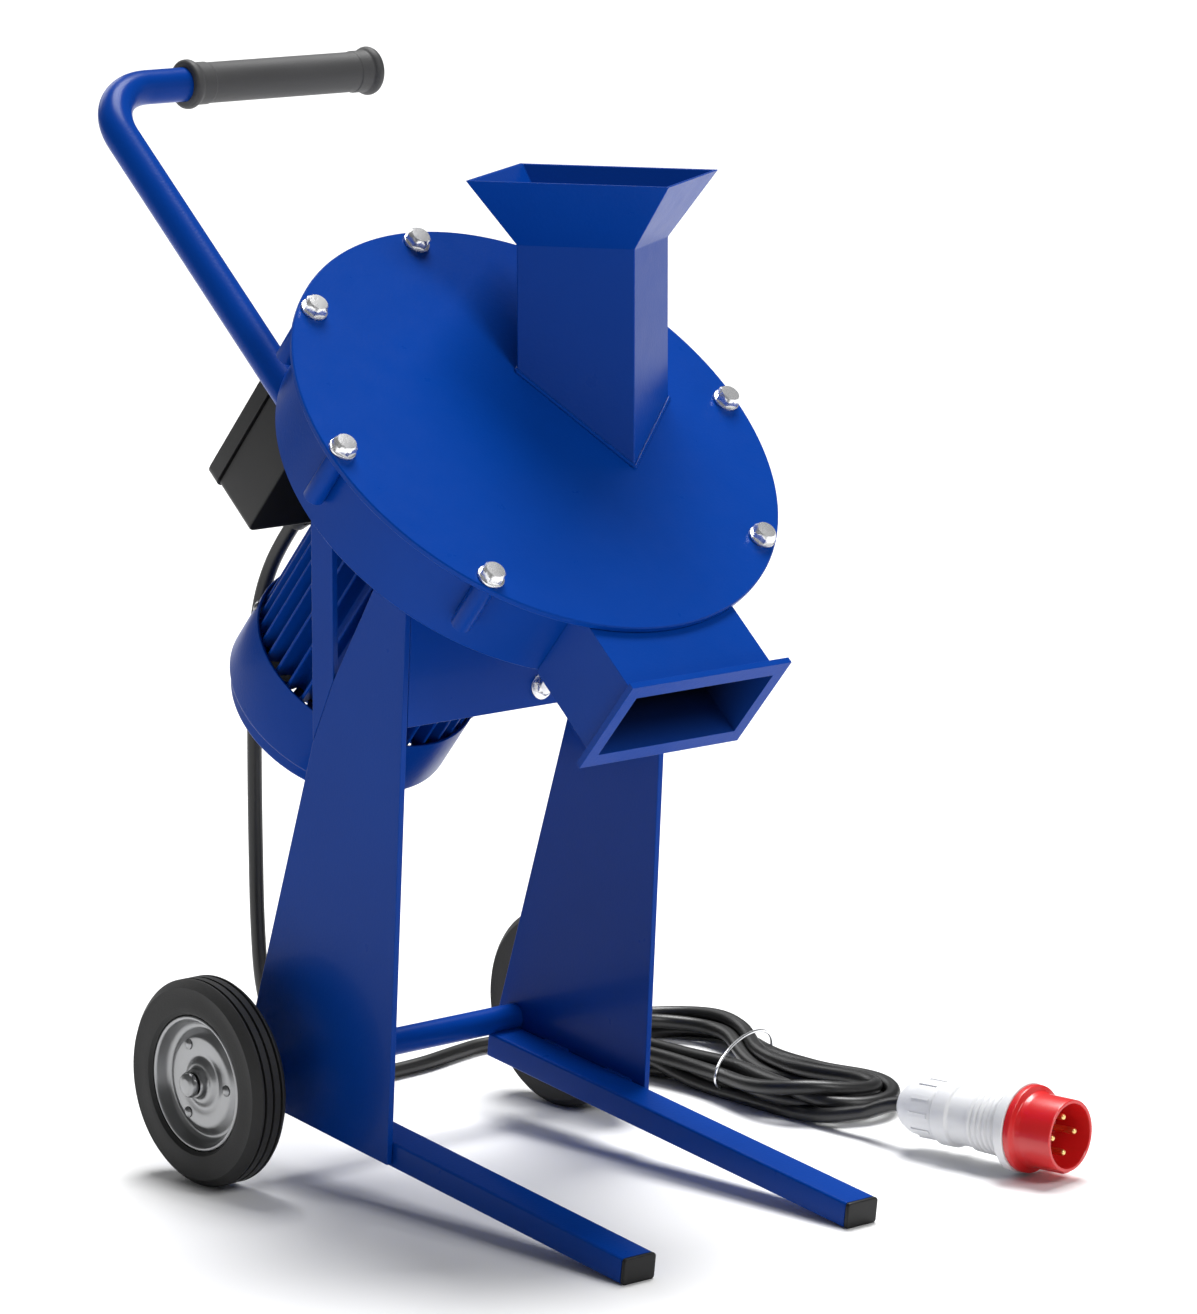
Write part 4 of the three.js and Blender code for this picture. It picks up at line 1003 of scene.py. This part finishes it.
# Seven M10 bolts hold the cover, each with a rounded hexagon head and a washer.
for number, angle in enumerate(BOLT_ANGLES, 1):
    bolt = hex_profile_piece(f"cover_screw_{number}", 17, 9.2, 10.5, 2, bolt_zinc)
    bolt.matrix_world = (
        mill_frame
        @ Matrix.Translation((BOLT_CIRCLE * cos(angle) * MM, BOLT_CIRCLE * sin(angle) * MM, 0.3 * MM))
        @ Matrix.Rotation(0.37 * number, 4, "Z")
    )
    fit(bolt, "machine", "zinc", f"cover_bolt_{number}")


# ------------------------------------------------------------------ hopper
# A square shaft of sheet steel that stands upright on the sloping cover, with a flared funnel on top.
# Its foot follows the cover and is welded to it all round.
FUNNEL_WIDE, FUNNEL_NARROW = 158, 132
SHAFT_TOP, RIM_TOP = 716, 765.6
hopper_frame = Matrix.Translation(hopper_place) @ Matrix.Rotation(HOPPER_TURN, 4, "Z")
cover_point = from_mill(0, 0, 0.4)


def cover_height(x, y):
    """Height of the cover's face under a point of the hopper's frame, in millimetres."""
    spot = hopper_frame @ Vector((x * MM, y * MM, 0))
    return cover_point.z + (spot.y / MM - cover_point.y) * sin(TILT) / cos(TILT)


def corners(wide, narrow):
    return [(sx * wide / 2, sy * narrow / 2) for sx, sy in ((-1, -1), (1, -1), (1, 1), (-1, 1))]


hopper_bm = bmesh.new()
levels = []
for inset in (0, 2 * HOPPER_WALL):
    shaft_shape = corners(HOPPER_WIDE - inset, HOPPER_NARROW - inset)
    funnel_shape = corners(FUNNEL_WIDE - inset, FUNNEL_NARROW - inset)
    foot = [hopper_bm.verts.new((x, y, cover_height(x, y))) for x, y in shaft_shape]
    neck = [hopper_bm.verts.new((x, y, SHAFT_TOP)) for x, y in shaft_shape]
    brim = [hopper_bm.verts.new((x, y, RIM_TOP)) for x, y in funnel_shape]
    levels.append([foot, neck, brim])
ordered = [*levels[0], *levels[1][::-1]]
for a, b in zip(ordered, [*ordered[1:], ordered[0]]):
    for i in range(4):
        j = (i + 1) % 4
        hopper_bm.faces.new((a[i], a[j], b[j], b[i]))
hopper = eased(mesh_piece("feed_funnel", hopper_bm, blue, 20), 0.9)
hopper.matrix_world = hopper_frame
fit(hopper, "machine", "blue_paint", "hopper")
seam = bmesh.new()
foot_line = [Vector((x, y, cover_height(x, y) + 0.3)) for x, y in corners(HOPPER_WIDE + 1, HOPPER_NARROW + 1)]
for a, b in zip(foot_line, [*foot_line[1:], foot_line[0]]):
    add_bead(seam, a, b, 1.7)
hopper_seam = mesh_piece("hopper_weld", seam, blue, 60)
hopper_seam.matrix_world = hopper_frame
fit(hopper_seam, "machine", "blue_paint")


# ------------------------------------------------------------------ screen and rotor
# Inside the drum: a perforated half-round screen, and a rotor of three discs with four swinging hammers
# on pins. They are plain machined steel, dull and a little scratched.
def machined_steel(place):
    scratches = place.noise(260, 5.0)
    cloud = place.noise(25, 3.0)
    return {
        "Base_Color": cloud.mix((0.28, 0.28, 0.29, 1), (0.44, 0.44, 0.45, 1)),
        "Roughness": 0.3 + 0.25 * scratches,
        "Normal": place.bump(scratches, 0.1),
    }


steel = material("machined_steel", machined_steel, Metallic=1)


def finish_node(node, finish):
    """A CAD node that stays in view takes that finish."""
    mesh = frame["nodes"][node].data
    mesh.materials.clear()
    mesh.materials.append(finish)


steel_nodes = ["screen", "rotor", "front_bearing", "rear_bearing", "motor_rotor", "stator_core"]
for number in range(1, 5):
    steel_nodes += [f"hammer_{number}", f"hammer_pin_{number}"]
for node in steel_nodes:
    finish_node(node, steel)
finish_node("rotor_bolt", zinc)
finish_node("cooling_fan", black_plastic)


# ------------------------------------------------------------------ motor
# A flange-mounted motor with straight cooling fins all round, cast in aluminium and painted blue. A
# stepped sheet cowl covers its fan at the far end, with slots for the air.
FIN_COUNT, FIN_TIP, FIN_ROOT, FIN_THICKNESS = 36, 90, 74, 2.6
MOTOR_FRONT, MOTOR_REAR = -87.3, -293
COWL_RADIUS, COWL_END_RADIUS, COWL_FRONT, COWL_STEP, COWL_REAR = 93.7, 86.3, -285, -343, -360

flange_profile = [(30, -75.9), (80, -75.9), (80, -84), (77, -87), (30, -87)]
motor_flange = turned("motor_shield", softened(flange_profile, 1.2), blue, 96)
motor_flange.matrix_world = motor_frame
fit(motor_flange, "machine", "blue_paint", "motor_flange")

root_half = FIN_THICKNESS * 0.75 / FIN_ROOT
tip_half = FIN_THICKNESS / 2 / FIN_TIP
fin_side = [
    (FIN_ROOT, root_half * 1.7), (FIN_ROOT + 2, root_half),
    (FIN_TIP - 0.7, tip_half), (FIN_TIP, tip_half * 0.4),
]
fin_shape = [(radius, -turn) for radius, turn in fin_side] + fin_side[::-1]
fins = []
for fin in range(FIN_COUNT):
    for radius, turn in fin_shape:
        angle = tau * fin / FIN_COUNT + turn
        fins.append((radius * cos(angle), radius * sin(angle)))
housing = mesh_piece("motor_shell", add_slab(bmesh.new(), fins, MOTOR_REAR, MOTOR_FRONT), blue, 24)
housing.matrix_world = motor_frame
hollow = turned_tool(cylinder(62.4, MOTOR_REAR + 8, -70), 64, motor_frame)
shaft_way = turned_tool(cylinder(11, MOTOR_REAR - 5, -70), 32, motor_frame)
rear_seat = turned_tool(cylinder(23.8, MOTOR_REAR + 2, -70), 48, motor_frame)
carve(housing, hollow, shaft_way, rear_seat)
fit(housing, "machine", "blue_paint", "motor_housing")
ring_profile = [(64, -101), (84, -101), (84, MOTOR_FRONT), (64, MOTOR_FRONT)]
end_ring = turned("motor_end_ring", softened(ring_profile, 1.2), blue, 96)
end_ring.matrix_world = motor_frame
fit(end_ring, "machine", "blue_paint")
pad = slab("box_pad", rounded_box(70, 76, 3), 70, 114 - ROTOR_Y - 0.3, blue, 0.8)
pad.matrix_world = motor_frame @ Matrix.Translation((0, 0, -0.172)) @ Matrix.Rotation(-pi / 2, 4, "X")
fit(pad, "machine", "blue_paint")

cowl_profile = [
    (0, COWL_REAR), (COWL_END_RADIUS - 7, COWL_REAR), (COWL_END_RADIUS, COWL_REAR + 5),
    (COWL_END_RADIUS, COWL_STEP - 1.5), (COWL_RADIUS, COWL_STEP + 3), (COWL_RADIUS, COWL_FRONT),
    (COWL_RADIUS - 2, COWL_FRONT), (COWL_RADIUS - 2, COWL_STEP + 5),
    (COWL_END_RADIUS - 2, COWL_STEP + 2), (COWL_END_RADIUS - 2, COWL_REAR + 6),
    (COWL_END_RADIUS - 8, COWL_REAR + 2), (0, COWL_REAR + 2),
]
cowl = turned("motor_cowl", softened(cowl_profile, 1.6), blue, 144)
cowl.matrix_world = motor_frame
SLOT_STEPS, SLOT_HALF, SLOT_GAP = 5, 4, 3.2
slot_bm = bmesh.new()
for ring, sectors in ((24, 6), (38, 8), (52, 10), (66, 12)):
    for sector in range(sectors):
        first = tau * sector / sectors + SLOT_GAP / ring
        last = tau * (sector + 1) / sectors - SLOT_GAP / ring
        angles = [first + (last - first) * i / SLOT_STEPS for i in range(SLOT_STEPS + 1)]
        arc_out = [((ring + SLOT_HALF) * cos(a), (ring + SLOT_HALF) * sin(a)) for a in angles]
        arc_in = [((ring - SLOT_HALF) * cos(a), (ring - SLOT_HALF) * sin(a)) for a in angles]
        add_slab(slot_bm, arc_out + arc_in[::-1], COWL_REAR - 4, COWL_REAR + 9)
slot_tool = mesh_piece("tool", slot_bm, blue)
slot_tool.matrix_world = motor_frame
carve(cowl, slot_tool)
fit(cowl, "machine", "blue_paint", "fan_cowl")

COWL_SCREWS = [radians(a) for a in (45, 135, 225, 315)]
screw_profile = [(0, 0), (4.2, 0), (4.2, 1.4), (2.6, 2.4), (1.2, 2.4), (1.2, 1.2), (0, 1.2)]
screw_place = Matrix.Translation(((COWL_RADIUS - 0.3) * MM, 0, (COWL_FRONT - 7) * MM)) @ CROSSWISE
for number, angle in enumerate(COWL_SCREWS, 1):
    head = turned(f"cowl_screw_{number}", softened(screw_profile, 0.4), zinc, 28)
    head.matrix_world = motor_frame @ Matrix.Rotation(angle, 4, "Z") @ screw_place
    fit(head, "machine", "zinc")


# ------------------------------------------------------------------ switch box
# A black moulded box on the motor, with its lid up the slope. The lid holds a green start button in a
# raised ring and a red mushroom stop button. The cable enters through a gland in its rear wall.
BOX_LEFT, BOX_RIGHT, BOX_BOTTOM, BOX_SPLIT, BOX_TOP = -90, 66, 114, 163, 177
BOX_REAR, BOX_FRONT = -232, -112
BUTTON_RADIUS, BUTTON_PROUD, START_X, STOP_X = 11, 6, -45, 15
box_middle = ((BOX_LEFT + BOX_RIGHT) / 2, (BOX_REAR + BOX_FRONT) / 2)
# A slab's Z becomes the mill's Y, and its y the mill's -Z.
UP_SLOPE = Matrix.Rotation(-pi / 2, 4, "X")
box_frame = mill_frame @ Matrix.Translation((box_middle[0] * MM, 0, box_middle[1] * MM)) @ UP_SLOPE


def over_button(x, height=0):
    return box_frame @ Matrix.Translation(((x - box_middle[0]) * MM, 0, height * MM))


body_shape = rounded_box(BOX_RIGHT - BOX_LEFT, BOX_FRONT - BOX_REAR, 7)
switch_box = slab("switch_box_body", body_shape, BOX_BOTTOM, BOX_SPLIT, black_plastic, 1.5)
switch_box.matrix_world = box_frame
well = cylinder(BUTTON_RADIUS + 3, BOX_SPLIT - 8, BOX_SPLIT + 2)
carve(switch_box, *[turned_tool(well, 48, over_button(x)) for x in (START_X, STOP_X)])
fit(switch_box, "machine", "black_plastic", "switch_box")
lid_shape = rounded_box(BOX_RIGHT - BOX_LEFT + 4, BOX_FRONT - BOX_REAR + 4, 9)
lid_bm = add_slab(bmesh.new(), lid_shape, BOX_SPLIT + 0.3, BOX_TOP)
lid = mesh_piece("switch_box_cover", lid_bm, black_plastic)
lid.matrix_world = box_frame
hole = [
    (0, BOX_SPLIT - 5), (BUTTON_RADIUS + 2.6, BOX_SPLIT - 5), (BUTTON_RADIUS + 2.6, BOX_TOP - 3),
    (BUTTON_RADIUS + 0.6, BOX_TOP - 3), (BUTTON_RADIUS + 0.6, BOX_TOP + 5), (0, BOX_TOP + 5),
]
carve(lid, *[turned_tool(hole, 48, over_button(x)) for x in (START_X, STOP_X)])
eased(lid, 1.6, 3)
fit(lid, "machine", "black_plastic", "switch_box_lid")
lid_screws = bmesh.new()
lid_screw = softened([(0, 0), (4, 0), (4, 1.2), (2.6, 2), (1.4, 2), (1.4, 0.9), (0, 0.9)], 0.3)
for sx in (-1, 1):
    for sy in (-1, 1):
        at = Matrix.Translation((sx * 69, sy * 51, BOX_TOP - 0.4))
        add_turned(lid_screws, lid_screw, 24, at)
ring = [(BUTTON_RADIUS + wider, z) for wider, z in ((0.8, 0), (4, 0), (3.4, 2.2), (1.2, 2.2))]
add_turned(lid_screws, ring, 48, Matrix.Translation((START_X - box_middle[0], 0, BOX_TOP - 0.2)))
box_trim = mesh_piece("switch_box_trim", lid_screws, zinc)
box_trim.matrix_world = box_frame
fit(box_trim, "machine", "zinc")
green_colours = moulded((0.012, 0.24, 0.05), (0.018, 0.3, 0.07), 0.28)
green_plastic = material("green_plastic", green_colours, Coat_Weight=0.3)
stem = [(0, -10.8), (BUTTON_RADIUS + 1.8, -10.8), (BUTTON_RADIUS + 1.8, -3.4), (BUTTON_RADIUS, -3.3)]
start_profile = [
    *stem, (BUTTON_RADIUS, BUTTON_PROUD - 1), (BUTTON_RADIUS - 1.2, BUTTON_PROUD),
    (BUTTON_RADIUS - 3, BUTTON_PROUD - 0.4), (0, BUTTON_PROUD - 0.9),
]
stop_profile = [*stem, (BUTTON_RADIUS, 6), (15.5, 7), (17, 8.6), (16.6, 10.6), (13, 12.8), (6, 13.8), (0, 14)]
buttons = (
    ("start", START_X, start_profile, green_plastic, "green_plastic"),
    ("stop", STOP_X, stop_profile, red_plastic, "red_plastic"),
)
for name, x, profile, finish, slot in buttons:
    button = turned(f"{name}_push_button", softened(profile, 0.8), finish, 64)
    button.matrix_world = over_button(x, BOX_TOP)
    fit(button, f"{name}_button", slot, f"{name}_button")

GLAND_X, GLAND_Y, GLAND_LENGTH, GLAND_RIBS = -12, 140, 30, 14
gland_profile = [
    (6.7, 0), (14, 0), (14, -2), (13, -2), (13, -9), (12, -10), (12.4, -11), (12.4, -19), (10, -26),
    (8.6, -GLAND_LENGTH), (6.7, -GLAND_LENGTH), (6.7, 0),
]
gland_bm = add_turned(bmesh.new(), softened(gland_profile, 0.8)[:-1], 48)
for i in range(GLAND_RIBS):
    add_block(gland_bm, (1.4, 1.8, 8), (12.4, 0, -15), tau * i / GLAND_RIBS)
gland = mesh_piece("gland", gland_bm, black_plastic)
gland.matrix_world = mill_frame @ Matrix.Translation((GLAND_X * MM, GLAND_Y * MM, (BOX_REAR - 0.3) * MM))
fit(gland, "machine", "black_plastic", "cable_gland")


# ------------------------------------------------------------------ tow handle
# A 26.9 mm pipe is welded to the back of the drum, runs up the slope and bends to the right, where it
# carries a soft rubber grip with a raised bead at each end.
HANDLE_X, HANDLE_Z, PIPE_RADIUS = -112.4, -88.8, 13.45
PIPE_FOOT, PIPE_REACH, PIPE_BEND = 60, 449.2, 52
GRIP_START, GRIP_LENGTH, GRIP_RADIUS, GRIP_BEAD = -24, 190, 16.8, 19.5
pipe_end = GRIP_START + GRIP_LENGTH - 8 - HANDLE_X
pipe_line = [Vector((0, PIPE_FOOT, 0))]
for i in range(25):
    angle = pi - i / 24 * pi / 2
    x = PIPE_BEND + PIPE_BEND * cos(angle)
    pipe_line.append(Vector((x, PIPE_REACH - PIPE_BEND + PIPE_BEND * sin(angle), 0)))
pipe_line.append(Vector((pipe_end, PIPE_REACH, 0)))
pipe_bm = bmesh.new()
PIPE_SIDES = 48
previous = None
first_ring = None
for i, point in enumerate(pipe_line):
    ahead = pipe_line[min(i + 1, len(pipe_line) - 1)] - pipe_line[max(i - 1, 0)]
    if i == 1:
        ahead = Vector((0, 1, 0))
    if i == len(pipe_line) - 2:
        ahead = Vector((1, 0, 0))
    across = ahead.normalized().cross(Vector((0, 0, 1)))
    ring = []
    for k in range(PIPE_SIDES):
        angle = tau * k / PIPE_SIDES
        spoke = cos(angle) * across + sin(angle) * Vector((0, 0, 1))
        ring.append(pipe_bm.verts.new(point + PIPE_RADIUS * spoke))
    if previous:
        for k in range(PIPE_SIDES):
            j = (k + 1) % PIPE_SIDES
            pipe_bm.faces.new((previous[k], previous[j], ring[j], ring[k]))
    else:
        first_ring = ring
    previous = ring
pipe_bm.faces.new(first_ring)
pipe_bm.faces.new(previous[::-1])
pipe = mesh_piece("tow_handle_pipe", pipe_bm, blue)
handle_frame = mill_frame @ Matrix.Translation((HANDLE_X * MM, 0, HANDLE_Z * MM))
pipe.matrix_world = handle_frame
fit(pipe, "machine", "blue_paint", "handle_tube")


def soft_grip(place):
    grain = place.noise(1100, 2.0)
    worn = place.noise(18, 4.0)
    return {
        "Base_Color": worn.mix((0.03, 0.03, 0.031, 1), (0.05, 0.05, 0.051, 1)),
        "Roughness": 0.5 + 0.18 * worn,
        "Normal": place.bump(grain, 0.18),
    }


grip_profile = [
    (13.75, 0), (17.4, 0), (19.2, 1.4), (GRIP_BEAD, 3.4), (GRIP_BEAD, 5.4), (18.4, 7.6),
    (GRIP_RADIUS, 9.6), (GRIP_RADIUS, 21), (GRIP_RADIUS - 0.7, 22), (GRIP_RADIUS - 0.7, 168),
    (GRIP_RADIUS, 169), (GRIP_RADIUS, 180), (18.4, 181.6), (GRIP_BEAD, 184), (GRIP_BEAD, 186),
    (18.6, 188.6), (16.4, 190), (0, 190), (0, 185), (13.75, 185),
]
grip_finish = material("grip_rubber", soft_grip)
grip = turned("rubber_grip", softened(grip_profile, 1.2), grip_finish, 72)
grip_foot = Matrix.Translation(((GRIP_START - HANDLE_X) * MM, PIPE_REACH * MM, 0))
grip.matrix_world = handle_frame @ grip_foot @ CROSSWISE
fit(grip, "machine", "rubber", "handle_grip")
